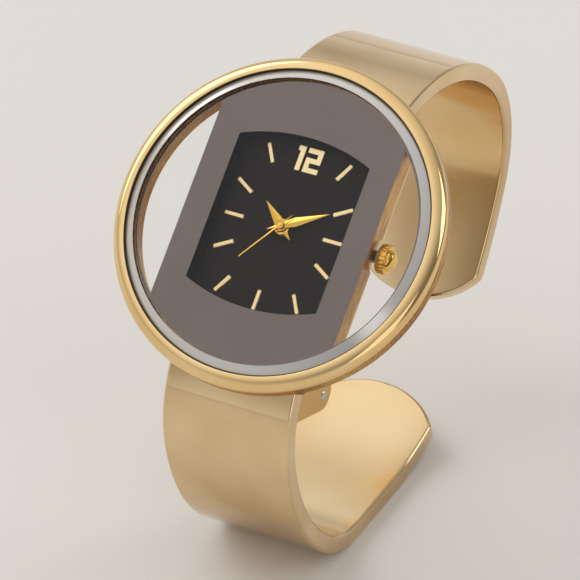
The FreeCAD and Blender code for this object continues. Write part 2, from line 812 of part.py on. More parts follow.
# The figures 1 and 2 at the top of the dial
figure_y = figure_foot
figure_top = figure_y + figure_height
one_left = figure_flag - (figure_flag + figure_stroke + figure_gap + figure_width) / 2
one_right = one_left + figure_stroke
one = plate([(one_left, figure_y), (one_left, figure_top - figure_stroke),
             (one_left - figure_flag, figure_top - figure_stroke), (one_left - figure_flag, figure_top),
             (one_right, figure_top), (one_right, figure_y)],
            dial_level, dial_level + baton_height)
two_left = one_right + figure_gap
two_right = two_left + figure_width
two_middle = figure_y + figure_height / 2
half_stroke = figure_stroke / 2
two = plate([(two_left, figure_y), (two_right, figure_y), (two_right, figure_y + figure_stroke),
             (two_left + figure_stroke, figure_y + figure_stroke), (two_left + figure_stroke, two_middle - half_stroke),
             (two_right, two_middle - half_stroke), (two_right, figure_top), (two_left, figure_top),
             (two_left, figure_top - figure_stroke), (two_right - figure_stroke, figure_top - figure_stroke),
             (two_right - figure_stroke, two_middle + half_stroke), (two_left, two_middle + half_stroke)],
            dial_level, dial_level + baton_height)
numeral_12 = [one, two]

# Hands
hour_hand = hand(hour_hand_length, hour_hand_tail, hour_hand_half_width, hour_hand_wide_at, hour_hand_level,
                 hour_hand_angle, hour_hand_hub, hour_pipe_radius - pipe_step)
minute_hand = hand(minute_hand_length, minute_hand_tail, minute_hand_half_width, minute_hand_wide_at,
                   minute_hand_level, minute_hand_angle, minute_hand_hub, cannon_radius - pipe_step)
second_hand = hand(second_hand_length, second_hand_tail, second_hand_half_width, 0.0, second_hand_level,
                   second_hand_angle, second_hand_hub, arbor_radius)

# Hour wheel with its pipe, minute wheel and centre wheel with its cannon
motion_low = motion_floor_level + motion_gap
motion_high = motion_low + hour_wheel_lift
hour_wheel_low = motion_high + wheel_stack_gap
hour_wheel_high = hour_wheel_low + wheel_thickness
motion_distance = (cannon_teeth + minute_wheel_teeth) * motion_module / 2
minute_x, minute_y = polar(motion_distance, minute_wheel_angle)
hour_wheel = fused([gear(hour_wheel_teeth, motion_module, hour_wheel_low, hour_wheel_high,
                         0.0, 0.0, meshing(hour_wheel_teeth, minute_wheel_angle + 180.0)),
                    disc(hour_pipe_radius, hour_wheel_low, hour_hand_level),
                    disc(hour_pipe_radius - pipe_step, hour_hand_level - hour_pipe_seat,
                         hour_hand_level + hand_thickness)])
hour_wheel = hour_wheel.cut(disc(hour_pipe_bore, motion_floor_level - 1, 1))
minute_wheel = fused([gear(minute_wheel_teeth, motion_module, motion_low, motion_low + wheel_thickness,
                           minute_x, minute_y, meshing(minute_wheel_teeth, minute_wheel_angle)),
                      gear(minute_pinion_teeth, motion_module, motion_low, hour_wheel_high,
                           minute_x, minute_y, minute_wheel_angle + 180.0)])
minute_wheel = minute_wheel.cut(disc(pivot_radius + wheel_stack_gap, motion_low - 1, 1, minute_x, minute_y))
centre_low = train_floor_level - centre_wheel_drop
centre_wheel = fused([gear(centre_wheel_teeth, centre_module, centre_low, centre_low + wheel_thickness,
                           0.0, 0.0, meshing(centre_wheel_teeth, third_angle + 180.0)),
                      disc(cannon_radius - pipe_step, centre_low, motion_low),
                      gear(cannon_teeth, motion_module, motion_low - cannon_pinion_overlap,
                           motion_low + wheel_thickness + cannon_pinion_overlap, 0.0, 0.0, minute_wheel_angle),
                      disc(cannon_radius - cannon_neck_step, motion_low + wheel_thickness, minute_hand_level),
                      disc(cannon_radius - pipe_step, minute_hand_level - minute_pipe_seat,
                           minute_hand_level + hand_thickness)])
centre_wheel = centre_wheel.cut(disc(cannon_bore, train_floor_level - 2, 1))

# Third, seconds and drive wheels, and the rotor
third_distance = (third_pinion_teeth + centre_wheel_teeth) * centre_module / 2
third_module = 2 * third_distance / (seconds_pinion_teeth + third_wheel_teeth)
third_x, third_y = polar(third_distance, third_angle)
third_low = train_floor_level - third_wheel_drop
pivot_low = bridge_level + pivot_end_gap
pivot_high = train_floor_level + pivot_upper_reach
third_wheel = fused([gear(third_wheel_teeth, third_module, third_low, third_low + wheel_thickness,
                          third_x, third_y, meshing(third_wheel_teeth, third_angle)),
                     gear(third_pinion_teeth, centre_module, third_low, centre_low + wheel_thickness + rotor_gap,
                          third_x, third_y, third_angle + 180.0),
                     disc(pivot_radius, pivot_low, pivot_high, third_x, third_y)])
seconds_low = train_floor_level - seconds_wheel_drop
seconds_top = second_hand_level + hand_thickness
drive_distance = (drive_pinion_teeth + seconds_wheel_teeth) * seconds_module / 2
drive_x, drive_y = polar(drive_distance, drive_angle)
seconds_wheel = fused([gear(seconds_wheel_teeth, seconds_module, seconds_low, seconds_low + wheel_thickness,
                            0.0, 0.0, meshing(seconds_wheel_teeth, drive_angle + 180.0)),
                       gear(seconds_pinion_teeth, third_module, seconds_low, third_low + wheel_thickness + wheel_stack_gap,
                            0.0, 0.0, third_angle),
                       disc(arbor_radius, pivot_low, seconds_top),
                       disc(hand_arbor_cap_radius, seconds_top, seconds_top + hand_arbor_cap_height)])
drive_wheel = fused([gear(drive_wheel_teeth, drive_module, third_low, third_low + wheel_thickness,
                          drive_x, drive_y, meshing(drive_wheel_teeth, drive_angle + 180.0)),
                     gear(drive_pinion_teeth, seconds_module, seconds_low - cannon_pinion_overlap, third_low + rotor_gap,
                          drive_x, drive_y, drive_angle + 180.0),
                     disc(pivot_radius, pivot_low, pivot_high, drive_x, drive_y)])
rotor_distance = (rotor_pinion_teeth + drive_wheel_teeth) * drive_module / 2
step_x, step_y = polar(rotor_distance, drive_angle)
rotor_x = drive_x + step_x
rotor_y = drive_y + step_y
rotor_high = train_floor_level - rotor_gap
rotor = fused([disc(rotor_radius, rotor_high - rotor_height, rotor_high, rotor_x, rotor_y),
               gear(rotor_pinion_teeth, drive_module, third_low - wheel_stack_gap,
                    rotor_high - rotor_height + cannon_pinion_overlap,
                    rotor_x, rotor_y, drive_angle + 180.0),
               disc(pivot_radius, pivot_low, pivot_high, rotor_x, rotor_y)])

# Stator, coil core and winding
stator_top = stator_level + stator_thickness
stator_arm_start = stator_half_length - stator_arm_width
stator_arm_low = (stator_bar_low + stator_bar_high) / 2
stator = fused([plate([(-stator_half_length, stator_bar_low), (stator_half_length, stator_bar_low),
                       (stator_half_length, stator_bar_high), (-stator_half_length, stator_bar_high)],
                      stator_level, stator_top),
                plate([(-stator_half_length, stator_arm_low), (-stator_arm_start, stator_arm_low),
                       (-stator_arm_start, stator_arm_end), (-stator_half_length, stator_arm_end)],
                      stator_level, stator_top),
                plate([(stator_arm_start, stator_arm_low), (stator_half_length, stator_arm_low),
                       (stator_half_length, stator_arm_end), (stator_arm_start, stator_arm_end)],
                      stator_level, stator_top),
                disc(stator_bore + stator_ring_width, stator_level, stator_top, rotor_x, rotor_y)])
stator = stator.cut(disc(stator_bore, stator_level - 1, stator_top + 1, rotor_x, rotor_y))
coil_core = Part.makeBox(2 * coil_core_half_length, coil_core_width, coil_core_height,
                         V(-coil_core_half_length, coil_y - coil_core_width / 2, stator_top))
coil_winding = rod_x(coil_radius, -coil_half_length, coil_half_length, coil_y, stator_top + coil_core_height / 2)
coil_winding = coil_winding.cut(coil_core)

# Main plate with rooms for the train, motion work, battery, crystal can, coil and stem
main_plate = rounded_rect(module_half_width, module_half_length, module_corner, module_back_level, module_top_level)
below = module_back_level - 1
above = module_top_level + 1
quartz_room = quartz_radius + quartz_fit
stator_room = stator_half_length + stator_room_gap
rooms = [disc(hour_wheel_teeth * motion_module / 2 + 2 * wheel_clearance, motion_floor_level, above),
         disc(minute_wheel_teeth * motion_module / 2 + 1.5 * wheel_clearance, motion_floor_level, above,
              minute_x, minute_y),
         disc(centre_wheel_teeth * centre_module / 2 + wheel_clearance, below, train_floor_level),
         disc(third_wheel_teeth * third_module / 2 + 1.5 * wheel_clearance, below, train_floor_level,
              third_x, third_y),
         disc(drive_wheel_teeth * drive_module / 2 + wheel_clearance, below, train_floor_level, drive_x, drive_y),
         disc(stator_bore + stator_ring_width + cannon_neck_step, below, train_floor_level, rotor_x, rotor_y),
         plate([(-stator_room, stator_bar_low - stator_room_gap), (stator_room, stator_bar_low - stator_room_gap),
                (stator_room, stator_arm_end + stator_room_gap), (-stator_room, stator_arm_end + stator_room_gap)],
               below, stator_top),
         Part.makeBox(2 * (coil_half_length + coil_room_gap), 2 * coil_radius + coil_room_gap,
                      stator_top + coil_core_height / 2 + coil_radius + coil_room_gap / 2 - below,
                      V(-coil_half_length - coil_room_gap, coil_y - coil_radius - coil_room_gap / 2, below)),
         Part.makeBox(2 * coil_core_half_length + coil_room_gap, coil_core_width + coil_room_gap,
                      stator_top + coil_core_height - below,
                      V(-coil_core_half_length - coil_room_gap / 2, coil_y - coil_core_width / 2 - coil_room_gap / 2,
                        below)),
         disc(battery_radius + battery_room_gap, below, battery_back_level + battery_height, battery_x, battery_y),
         Part.makeBox(2 * quartz_room, quartz_length + 2 * coil_room_gap, quartz_room_level - below,
                      V(quartz_x - quartz_room, quartz_y - quartz_length / 2 - coil_room_gap, below)),
         Part.makeBox(chip_size + 2 * chip_room_gap, chip_size + 2 * chip_room_gap, chip_height + chip_room_gap,
                      V(chip_x - chip_room_gap, chip_y - chip_room_gap, module_back_level)),
         disc(cannon_radius, below, above),
         disc(pivot_radius + pivot_hole_clearance, below, above, third_x, third_y),
         disc(pivot_radius + pivot_hole_clearance, below, above, drive_x, drive_y),
         disc(pivot_radius + pivot_hole_clearance, below, above, rotor_x, rotor_y),
         rod_x(stem_radius + stem_room_gap, stem_square_start - stem_room_gap, module_half_width + 1, 0, stem_level),
         rod_x(stem_pilot_radius + clutch_clearance, stem_pilot_start - stem_room_gap, stem_square_start,
               0, stem_level),
         rod_x(clutch_radius + stem_room_gap, clutch_start - clutch_travel_room, clutch_end + clutch_travel_room,
               0, stem_level)]
for room in rooms:
    main_plate = main_plate.cut(room)
main_plate = main_plate.fuse(disc(pivot_radius, motion_floor_level - pivot_upper_reach, motion_high + motion_gap,
                                  minute_x, minute_y)).removeSplitter()

# Train bridge and circuit board on the back of the main plate, with their screws
train_bridge = plate(bridge_outline, bridge_level, module_back_level)
for x, y in ((0.0, 0.0), (third_x, third_y), (drive_x, drive_y), (rotor_x, rotor_y)):
    train_bridge = train_bridge.cut(disc(pivot_radius + bridge_hole_clearance, bridge_level - 1,
                                         module_back_level + 1, x, y))
circuit_board = plate(board_outline, bridge_level + board_gap, module_back_level)
circuit_board = circuit_board.cut(disc(battery_radius + 2 * battery_room_gap, bridge_level - 1, module_back_level + 1,
                                       battery_x, battery_y))
bridge_screws = []
for x, y in screw_places:
    head_low = bridge_level - bridge_screw_head_height
    head = disc(bridge_screw_head_radius, head_low, bridge_level, x, y)
    shank = disc(bridge_screw_radius, head_low, bridge_level + bridge_screw_length, x, y)
    slot = Part.makeBox(4 * bridge_screw_head_radius, bridge_screw_slot, 2 * bridge_screw_slot_depth,
                        V(x - 2 * bridge_screw_head_radius, y - bridge_screw_slot / 2,
                          head_low - bridge_screw_slot_depth))
    bridge_screws.append(head.fuse(shank).removeSplitter().cut(slot))
    hole = disc(bridge_screw_radius, bridge_level - 1, bridge_level + bridge_screw_length + bridge_screw_tip_gap,
                x, y)
    main_plate = main_plate.cut(hole)
    train_bridge = train_bridge.cut(hole)
    circuit_board = circuit_board.cut(hole)
chip = Part.makeBox(chip_size, chip_size, chip_height, V(chip_x, chip_y, module_back_level))
quartz_can = Part.makeCylinder(quartz_radius, quartz_length,
                               V(quartz_x, quartz_y - quartz_length / 2, module_back_level + quartz_radius),
                               V(0, 1, 0))
quartz_can = quartz_can.makeFillet(quartz_corner, [e for e in quartz_can.Edges if e.isClosed() and e.Length > quartz_radius])

# Battery with its insulating disc and contact strap
battery_can = disc(battery_radius, battery_back_level, battery_back_level + battery_height - battery_step_height,
                   battery_x, battery_y)
battery_cap_level = battery_back_level + battery_height - battery_insulator_height
battery_cap = disc(battery_radius - battery_cap_step, battery_back_level, battery_cap_level, battery_x, battery_y)
battery = fused([battery_can, battery_cap])
battery_insulator = disc(battery_radius - battery_insulator_inset, battery_cap_level,
                         battery_back_level + battery_height, battery_x, battery_y)
strap_low = battery_back_level - battery_clip_thickness
battery_strap = fused([plate(battery_strap_outline, strap_low, battery_back_level),
                       plate(battery_strap_foot, strap_low, bridge_level + board_gap)])

# Ring that holds the movement in the case
movement_holder = rounded_rect(module_room_half_width - holder_clearance, module_room_half_length - holder_clearance,
                               module_room_corner, module_back_level, module_top_level)
movement_holder = movement_holder.cut(rounded_rect(module_half_width + holder_clearance,
                                                   module_half_length + holder_clearance, module_corner,
                                                   module_back_level - 1, module_top_level + 1))
movement_holder = movement_holder.cut(rod_x(tube_radius + holder_clearance, module_half_width - 1, module_room_half_width + 1,
                                            0, stem_level))

# Crown tube, crown, its seal and the stem
crown_tube = rod_x(tube_radius, module_room_half_width, tube_end, 0, stem_level)
crown_tube = crown_tube.cut(rod_x(tube_bore, 0, crown_end, 0, stem_level))
crown_drum = rod_x(crown_radius, crown_start, crown_shoulder, 0, stem_level)
flutes = []
for number in range(crown_flutes):
    turn = 2 * math.pi * number / crown_flutes
    fy = crown_radius * math.cos(turn)
    fz = stem_level + crown_radius * math.sin(turn)
    flutes.append(rod_x(crown_flute_radius, crown_start - 1, crown_end, fy, fz))
crown_drum = crown_drum.cut(Part.makeCompound(flutes))
dome_edge = crown_radius - crown_dome_step
dome_radius = (dome_edge ** 2 + crown_dome_height ** 2) / (2 * crown_dome_height)
dome = Part.makeSphere(dome_radius, V(crown_end - dome_radius, 0, stem_level))
dome = dome.common(rod_x(dome_edge, crown_shoulder - crown_drum_length / 4, crown_end + 1, 0, stem_level))
stem_end = crown_shoulder + stem_bite
crown = fused([crown_drum, dome])
crown = crown.cut(rod_x(crown_seal_radius, crown_start - 1, crown_start + crown_seal_depth, 0, stem_level))
crown = crown.cut(rod_x(stem_radius, crown_start, stem_end, 0, stem_level))
seal_start = crown_start + crown_seal_inset
crown_seal = rod_x(crown_seal_radius, seal_start, seal_start + crown_seal_width, 0, stem_level)
crown_seal = crown_seal.cut(rod_x(tube_radius + seal_clearance, 0, crown_end, 0, stem_level))
square_length = stem_square_end - stem_square_start
stem_flat = Part.makeBox(square_length, stem_square, stem_square,
                         V(stem_square_start, -stem_square / 2, stem_level - stem_square / 2))
stem = fused([rod_x(stem_radius, stem_square_end, stem_end, 0, stem_level), stem_flat,
              rod_x(stem_pilot_radius, stem_pilot_start, stem_square_start, 0, stem_level)])

# Clutch wheel on the square of the stem, toothed on its outer end
clutch_wheel = rod_x(clutch_radius, clutch_start, clutch_end, 0, stem_level)
hole_side = stem_square + 2 * clutch_clearance
clutch_wheel = clutch_wheel.cut(Part.makeBox(10, hole_side, hole_side,
                                             V(0, -hole_side / 2, stem_level - hole_side / 2)))
clutch_groove = rod_x(clutch_radius + 1, clutch_groove_start, clutch_groove_end, 0, stem_level).cut(
    rod_x(clutch_radius - clutch_groove_depth, clutch_start, clutch_end, 0, stem_level))
clutch_wheel = clutch_wheel.cut(clutch_groove)
notches = []
for number in range(clutch_teeth):
    turn = 2 * math.pi * number / clutch_teeth
    ny = clutch_radius * math.cos(turn)
    nz = stem_level + clutch_radius * math.sin(turn)
    notches.append(rod_x(clutch_tooth_radius, clutch_start - 1, clutch_start + clutch_tooth_length, ny, nz))
clutch_wheel = clutch_wheel.cut(Part.makeCompound(notches))

# Cuff arms, ears, hinge blocks, pins and springs
lower_arm, lower_arcs = make_arm(lower_start, lower_heading, lower_bends, -1)
upper_arm, upper_arcs = make_arm(upper_start, upper_heading, upper_bends, 1)
lower_ears = [ear.cut(lower_arm) for ear in make_ears(lower_arcs, -1)]
upper_ears = [ear.cut(upper_arm) for ear in make_ears(upper_arcs, 1)]
lower_block = make_block(-1)
upper_block = make_block(1)
lower_pin = arm_pin(-1)
upper_pin = arm_pin(1)
lower_spring = make_spring(lower_arcs, -1)
upper_spring = make_spring(upper_arcs, 1)

nodes = {
    "bezel_ring": [bezel_ring],
    "case_body": [case_body],
    "case_back": [case_back],
    "case_back_gasket": [back_gasket],
    "case_back_screws": back_screws,
    "crystal": [crystal],
    "crystal_gasket": [crystal_gasket],
    "mirror_mask": [mirror_mask],
    "dial_spacer": [dial_spacer],
    "dial": [dial],
    "hour_markers": hour_markers,
    "numeral_12": numeral_12,
    "hour_hand": [hour_hand],
    "minute_hand": [minute_hand],
    "second_hand": [second_hand],
    "crown": [crown],
    "crown_seal": [crown_seal],
    "crown_tube": [crown_tube],
    "stem": [stem],
    "clutch_wheel": [clutch_wheel],
    "movement_holder": [movement_holder],
    "main_plate": [main_plate],
    "train_bridge": [train_bridge],
    "movement_screws": bridge_screws,
    "circuit_board": [circuit_board],
    "timing_chip": [chip],
    "quartz_can": [quartz_can],
    "coil_core": [coil_core],
    "coil_winding": [coil_winding],
    "stator": [stator],
    "rotor": [rotor],
    "drive_wheel": [drive_wheel],
    "seconds_wheel": [seconds_wheel],
    "third_wheel": [third_wheel],
    "centre_wheel": [centre_wheel],
    "minute_wheel": [minute_wheel],
    "hour_wheel": [hour_wheel],
    "battery": [battery],
    "battery_insulator": [battery_insulator],
    "battery_strap": [battery_strap],
    "upper_arm": [upper_arm],
    "lower_arm": [lower_arm],
    "upper_arm_ears": upper_ears,
    "lower_arm_ears": lower_ears,
    "upper_hinge_block": [upper_block],
    "lower_hinge_block": [lower_block],
    "upper_hinge_pin": [upper_pin],
    "lower_hinge_pin": [lower_pin],
    "upper_hinge_spring": [upper_spring],
    "lower_hinge_spring": [lower_spring],
}

# Lean the watch back and set the lowest point on the ground, centred over its footprint
for solids in nodes.values():
    for solid in solids:
        solid.rotate(V(0, 0, 0), V(1, 0, 0), face_lean)
whole = Part.makeCompound([solid for solids in nodes.values() for solid in solids])
reach = whole.optimalBoundingBox(False)
stand_shift = V(0, -(reach.YMin + reach.YMax) / 2, -reach.ZMin)

os.makedirs("parts", exist_ok=True)
for name, solids in nodes.items():
    for solid in solids:
        solid.translate(stand_shift)
    shape = solids[0] if len(solids) == 1 else Part.makeCompound(solids)
    shape.exportStep("parts/" + name + ".step")
    print(name, len(shape.Solids), shape.isValid(), round(shape.Volume, 3))
print("stand shift", round(stand_shift.y, 4), round(stand_shift.z, 4))
print("size", round(reach.XLength, 3), round(reach.YLength, 3), round(reach.ZLength, 3))
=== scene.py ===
import bmesh
import bpy
import math
from mathutils import Matrix, Vector


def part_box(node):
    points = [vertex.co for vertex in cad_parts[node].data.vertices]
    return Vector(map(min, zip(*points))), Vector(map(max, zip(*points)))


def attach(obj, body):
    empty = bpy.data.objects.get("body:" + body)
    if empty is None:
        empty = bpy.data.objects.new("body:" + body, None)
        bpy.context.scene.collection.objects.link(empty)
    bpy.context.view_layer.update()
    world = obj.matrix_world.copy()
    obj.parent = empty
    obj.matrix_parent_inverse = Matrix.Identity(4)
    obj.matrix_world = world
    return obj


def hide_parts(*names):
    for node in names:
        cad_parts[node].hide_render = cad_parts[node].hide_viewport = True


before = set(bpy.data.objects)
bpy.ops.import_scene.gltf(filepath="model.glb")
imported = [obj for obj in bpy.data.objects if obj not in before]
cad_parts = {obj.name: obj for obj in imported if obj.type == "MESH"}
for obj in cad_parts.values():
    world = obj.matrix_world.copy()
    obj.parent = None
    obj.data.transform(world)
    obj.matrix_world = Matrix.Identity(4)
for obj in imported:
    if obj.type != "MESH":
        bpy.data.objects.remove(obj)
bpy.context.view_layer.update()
mm = 0.001

# the face leans back, and everything on it is placed from the middle of the glass
face = {
    "leanDegrees": 41.1,
    "dialMiddleLevel": -3.1,   # middle of the dial plate below the glass plane, mm
}
lean = math.radians(face["leanDegrees"])
faceUp = Vector((0, math.cos(lean), math.sin(lean)))        # towards 12 o'clock
faceOut = Vector((0, -math.sin(lean), math.cos(lean)))      # out of the dial
dialLow, dialHigh = (Vector(corner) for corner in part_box("dial"))
faceOrigin = (dialLow + dialHigh) / 2 - faceOut * face["dialMiddleLevel"] * mm
faceMatrix = Matrix((Vector((1, 0, 0)), faceUp, faceOut)).transposed().to_4x4()
faceMatrix.translation = faceOrigin


# sRGB hex to the linear colour that the shaders use
def toLinear(hexCode):
    channels = [int(hexCode[place:place + 2], 16) / 255 for place in (1, 3, 5)]
    return [c / 12.92 if c <= 0.04045 else ((c + 0.055) / 1.055) ** 2.4 for c in channels] + [1.0]


# one node with its settings; each input takes a value, a socket, or a node's first output
def addNode(tree, kind, settings=None, inputs=None):
    node = tree.nodes.new(kind)
    for name, value in (settings or {}).items():
        setattr(node, name, value)
    for name, value in (inputs or {}).items():
        if isinstance(value, bpy.types.Node):
            value = value.outputs[0]
        if isinstance(value, bpy.types.NodeSocket):
            tree.links.new(value, node.inputs[name])
        else:
            node.inputs[name].default_value = value
    return node


def newMaterial(name):
    material = bpy.data.materials.new(name)
    material.use_nodes = True
    tree = material.node_tree
    tree.nodes.clear()
    shader = addNode(tree, "ShaderNodeBsdfPrincipled")
    addNode(tree, "ShaderNodeOutputMaterial", None, {"Surface": shader})
    return material, tree, shader


# object coordinates turned into the face's own axes: across, towards 12 o'clock, out
def faceCoordinates(tree):
    coordinates = addNode(tree, "ShaderNodeTexCoord")
    return addNode(tree, "ShaderNodeMapping", None,
                   {"Vector": coordinates.outputs["Object"], "Rotation": (-lean, 0, 0),
                    "Location": tuple(faceMatrix.inverted().translation)})


# noise scale whose cells have this size in mm
def cellScale(size):
    return 1 / (size * mm)


# what the finishes share: sizes in mm, and the parts of a noise that are spread over the full range
finish = {
    "driftSize": 16.67, "grainHeight": 0.02, "driftRange": (0.3, 0.75), "streakRange": (0.35, 0.65),
    "roughRange": (0.3, 0.7),
}


# metal: its colour drifts in clouds, and its grain breaks up roughness and height.
# The grain has one size, or one for each axis of the face, and streak lets it tint the colour too
def metal(name, colour, shade, roughness, spread, grain, streak=0.0, bump=0.02):
    material, tree, shader = newMaterial(name)
    place = faceCoordinates(tree)
    sizes = grain if isinstance(grain, tuple) else (grain, grain, grain)
    stretched = addNode(tree, "ShaderNodeMapping", None,
                        {"Vector": place, "Scale": [cellScale(size) for size in sizes]})
    marks = addNode(tree, "ShaderNodeTexNoise", None,
                    {"Vector": stretched, "Scale": 1.0, "Detail": 3.0, "Roughness": 0.6})
    drift = addNode(tree, "ShaderNodeTexNoise", None,
                    {"Vector": place, "Scale": cellScale(finish["driftSize"]), "Detail": 2.0})
    low, high = finish["driftRange"]
    share = addNode(tree, "ShaderNodeMapRange", None, {"Value": drift, "From Min": low, "From Max": high})
    if streak:
        low, high = finish["streakRange"]
        streaks = addNode(tree, "ShaderNodeMapRange", None,
                          {"Value": marks, "From Min": low, "From Max": high,
                           "To Min": -streak, "To Max": streak})
        share = addNode(tree, "ShaderNodeMath", {"operation": "ADD", "use_clamp": True},
                        {0: share, 1: streaks})
    blend = addNode(tree, "ShaderNodeMix", {"data_type": "RGBA"},
                    {"Factor": share, 6: toLinear(colour), 7: toLinear(shade)})
    low, high = finish["roughRange"]
    rough = addNode(tree, "ShaderNodeMapRange", None,
                    {"Value": marks, "From Min": low, "From Max": high, "To Min": roughness,
                     "To Max": roughness + spread})
    height = addNode(tree, "ShaderNodeBump", None,
                     {"Height": marks, "Strength": bump, "Distance": finish["grainHeight"] * mm})
    tree.links.new(blend.outputs[2], shader.inputs["Base Color"])
    tree.links.new(rough.outputs["Result"], shader.inputs["Roughness"])
    tree.links.new(height.outputs["Normal"], shader.inputs["Normal"])
    shader.inputs["Metallic"].default_value = 1.0
    return material


# any other surface: one noise, with cells of a size in mm, mixes two shades and two roughnesses.
# Without a second shade, or with one roughness, that is the same all over and set on the shader
def clouded(name, colour, shade, roughness, grain, detail=3.0, bump=0.0, sockets=None):
    material, tree, shader = newMaterial(name)
    cloud = addNode(tree, "ShaderNodeTexNoise", None,
                    {"Vector": faceCoordinates(tree), "Scale": cellScale(grain), "Detail": detail})
    if shade:
        blend = addNode(tree, "ShaderNodeMix", {"data_type": "RGBA"},
                        {"Factor": cloud, 6: toLinear(colour), 7: toLinear(shade)})
        tree.links.new(blend.outputs[2], shader.inputs["Base Color"])
    else:
        shader.inputs["Base Color"].default_value = toLinear(colour)
    if isinstance(roughness, tuple):
        rough = addNode(tree, "ShaderNodeMapRange", None,
                        {"Value": cloud, "To Min": roughness[0], "To Max": roughness[1]})
        tree.links.new(rough.outputs["Result"], shader.inputs["Roughness"])
    else:
        shader.inputs["Roughness"].default_value = roughness
    if bump:
        height = addNode(tree, "ShaderNodeBump", None,
                         {"Height": cloud, "Strength": bump, "Distance": finish["grainHeight"] * mm})
        tree.links.new(height.outputs["Normal"], shader.inputs["Normal"])
    for socket, value in (sockets or {}).items():
        shader.inputs[socket].default_value = value
    return material


# ring: steel, plated rose gold and polished, so it mirrors the room in long clean bands.
# Handling marks are finer than 0.1 mm; they are drawn 0.8 mm wide and faint, or they wouldn't show
polishedRoseGold = metal("polishedRoseGold", "#f2d39c", "#e7bf80", 0.04, 0.04, 0.833, bump=0.015)
# case: the same plating over a brushed casting, whose streaks towards 12 o'clock break up the shine.
# Real strokes are about 0.04 mm wide, drawn 0.1 mm wide to show
brushedBronzeGold = metal("brushedBronzeGold", "#d9a552", "#7a5220", 0.2, 0.16, (0.1042, 2.604, 0.1042),
                          streak=0.6, bump=0.2)
# cuff, outside: plated champagne gold and polished, a soft mirror with faint hairlines across the strip.
# Real hairlines are about 0.05 mm wide, drawn 0.33 mm wide to show
polishedChampagneGold = metal("polishedChampagneGold", "#e8cda2", "#c7a473", 0.04, 0.05,
                              (8.333, 0.3333, 0.3333), streak=0.05, bump=0.015)
# cuff, inside: tumbled before plating, so it glows softly. Dimples under 0.1 mm, drawn 0.28 mm wide
tumbledGold = metal("tumbledGold", "#f0d7ac", "#e3be84", 0.17, 0.06, 0.2778, bump=0.015)
# lugs and blocks of the hinges: polished casting in a deeper gold, with a slightly uneven shine
castLugGold = metal("castLugGold", "#dcae5c", "#b98436", 0.1, 0.08, 0.5556, bump=0.03)
# crown, hands and gilt wheels: brass, turned and plated yellow gold, so their facets glint. The marks
# of the turning tool are about 0.05 mm apart, drawn 0.4 mm wide to show
turnedYellowGold = metal("turnedYellowGold", "#fdd369", "#efb944", 0.13, 0.06, 0.4)
# hour marks: plated pale gold and diamond cut, which keeps them pale and even from every side
diamondCutGold = metal("diamondCutGold", "#ffe6b4", "#fcd592", 0.2, 0.1, 0.25, bump=0.03)
# screws, pins, stem and tube: turned steel, a cool soft shine with fine tool marks, drawn coarse as above
turnedSteel = metal("turnedSteel", "#c9c8c6", "#b3b1ae", 0.16, 0.1, 0.4, bump=0.03)
# case back and battery: steel with a satin grain across, which spreads each highlight into a band.
# Real grain is about 0.05 mm wide, drawn 0.11 mm wide to show
satinSteel = metal("satinSteel", "#b9b3aa", "#a39d94", 0.26, 0.14, (2.273, 0.1136, 0.1136),
                   streak=0.3, bump=0.08)
# hinge springs: hard drawn steel wire, bright and smooth; its faint draw marks are drawn 0.33 mm wide
drawnSpringSteel = metal("drawnSpringSteel", "#aeb1b5", "#8f9297", 0.14, 0.12, 0.3333, bump=0.03)
# plates of the movement: brass with a straight grain, warm and silky. Real grain is about 0.04 mm wide,
# drawn 0.1 mm wide to show
grainedPlateBrass = metal("grainedPlateBrass", "#cfae62", "#b7944a", 0.24, 0.12, (0.1042, 1.389, 0.1042),
                          streak=0.3, bump=0.06)
# wheels: brass cut and lightly polished, so the teeth catch light; tool marks are drawn 0.29 mm wide
cutWheelBrass = metal("cutWheelBrass", "#dcb962", "#c29a44", 0.2, 0.1, 0.2857, bump=0.03)
# rotor: pressed and sintered magnet powder, dark and dull. Its grain is far finer than the 0.2 mm drawn
sinteredMagnet = metal("sinteredMagnet", "#5b5a5f", "#47464b", 0.35, 0.15, 0.2, bump=0.1)
# coil: enamelled wire wound side by side, turns about 0.08 mm apart, so light runs in thin stripes
woundEnamelledCopper = metal("woundEnamelledCopper", "#c0653a", "#8e4322", 0.22, 0.1, (0.0794, 5.556, 5.556),
                             streak=0.6, bump=0.25)
# gasket and seal: moulded nitrile rubber, nearly black and without shine. This and the nylons have the
# grain of their moulds, under 0.1 mm wide and drawn 0.67 mm wide to show
mouldedRubber = clouded("mouldedNitrileRubber", "#141414", "#1d1c1b", (0.54, 0.66), 0.6667, bump=0.1)
# ring under the glass, wall of the dial window and battery insulator: moulded black nylon, dull
mouldedBlack = clouded("mouldedBlackNylon", "#0d0b0a", "#171412", (0.39, 0.51), 0.6667, bump=0.1)
# holder of the movement: moulded pale nylon, with a soft shine
mouldedPale = clouded("mouldedPaleNylon", "#c9c5ba", "#bab6aa", (0.36, 0.48), 0.6667, bump=0.1)
# circuit board: pressed glass cloth and epoxy, green under a thin gloss; its weave is about 0.25 mm
pressedBoard = clouded("pressedBoardLaminate", "#1d5a34", "#184a2b", (0.32, 0.44), 0.25, bump=0.1,
                       sockets={"Coat Weight": 0.3})
# timing chip: a cast drop of black epoxy, with a soft round highlight; its filler is drawn 0.17 mm wide
castEpoxy = clouded("castChipEpoxy", "#0b0b0c", "#141416", (0.29, 0.41), 0.1667, bump=0.1)
# film on the back of the glass: sputtered dark chrome, a dim warm grey mirror without grain; its tint
# drifts over about 22 mm, as the film's thickness does
sputteredFilm = clouded("sputteredDarkChrome", "#776c67", "#6d625d", (0.005, 0.015), 22.22, detail=1.0,
                        sockets={"Metallic": 1.0})
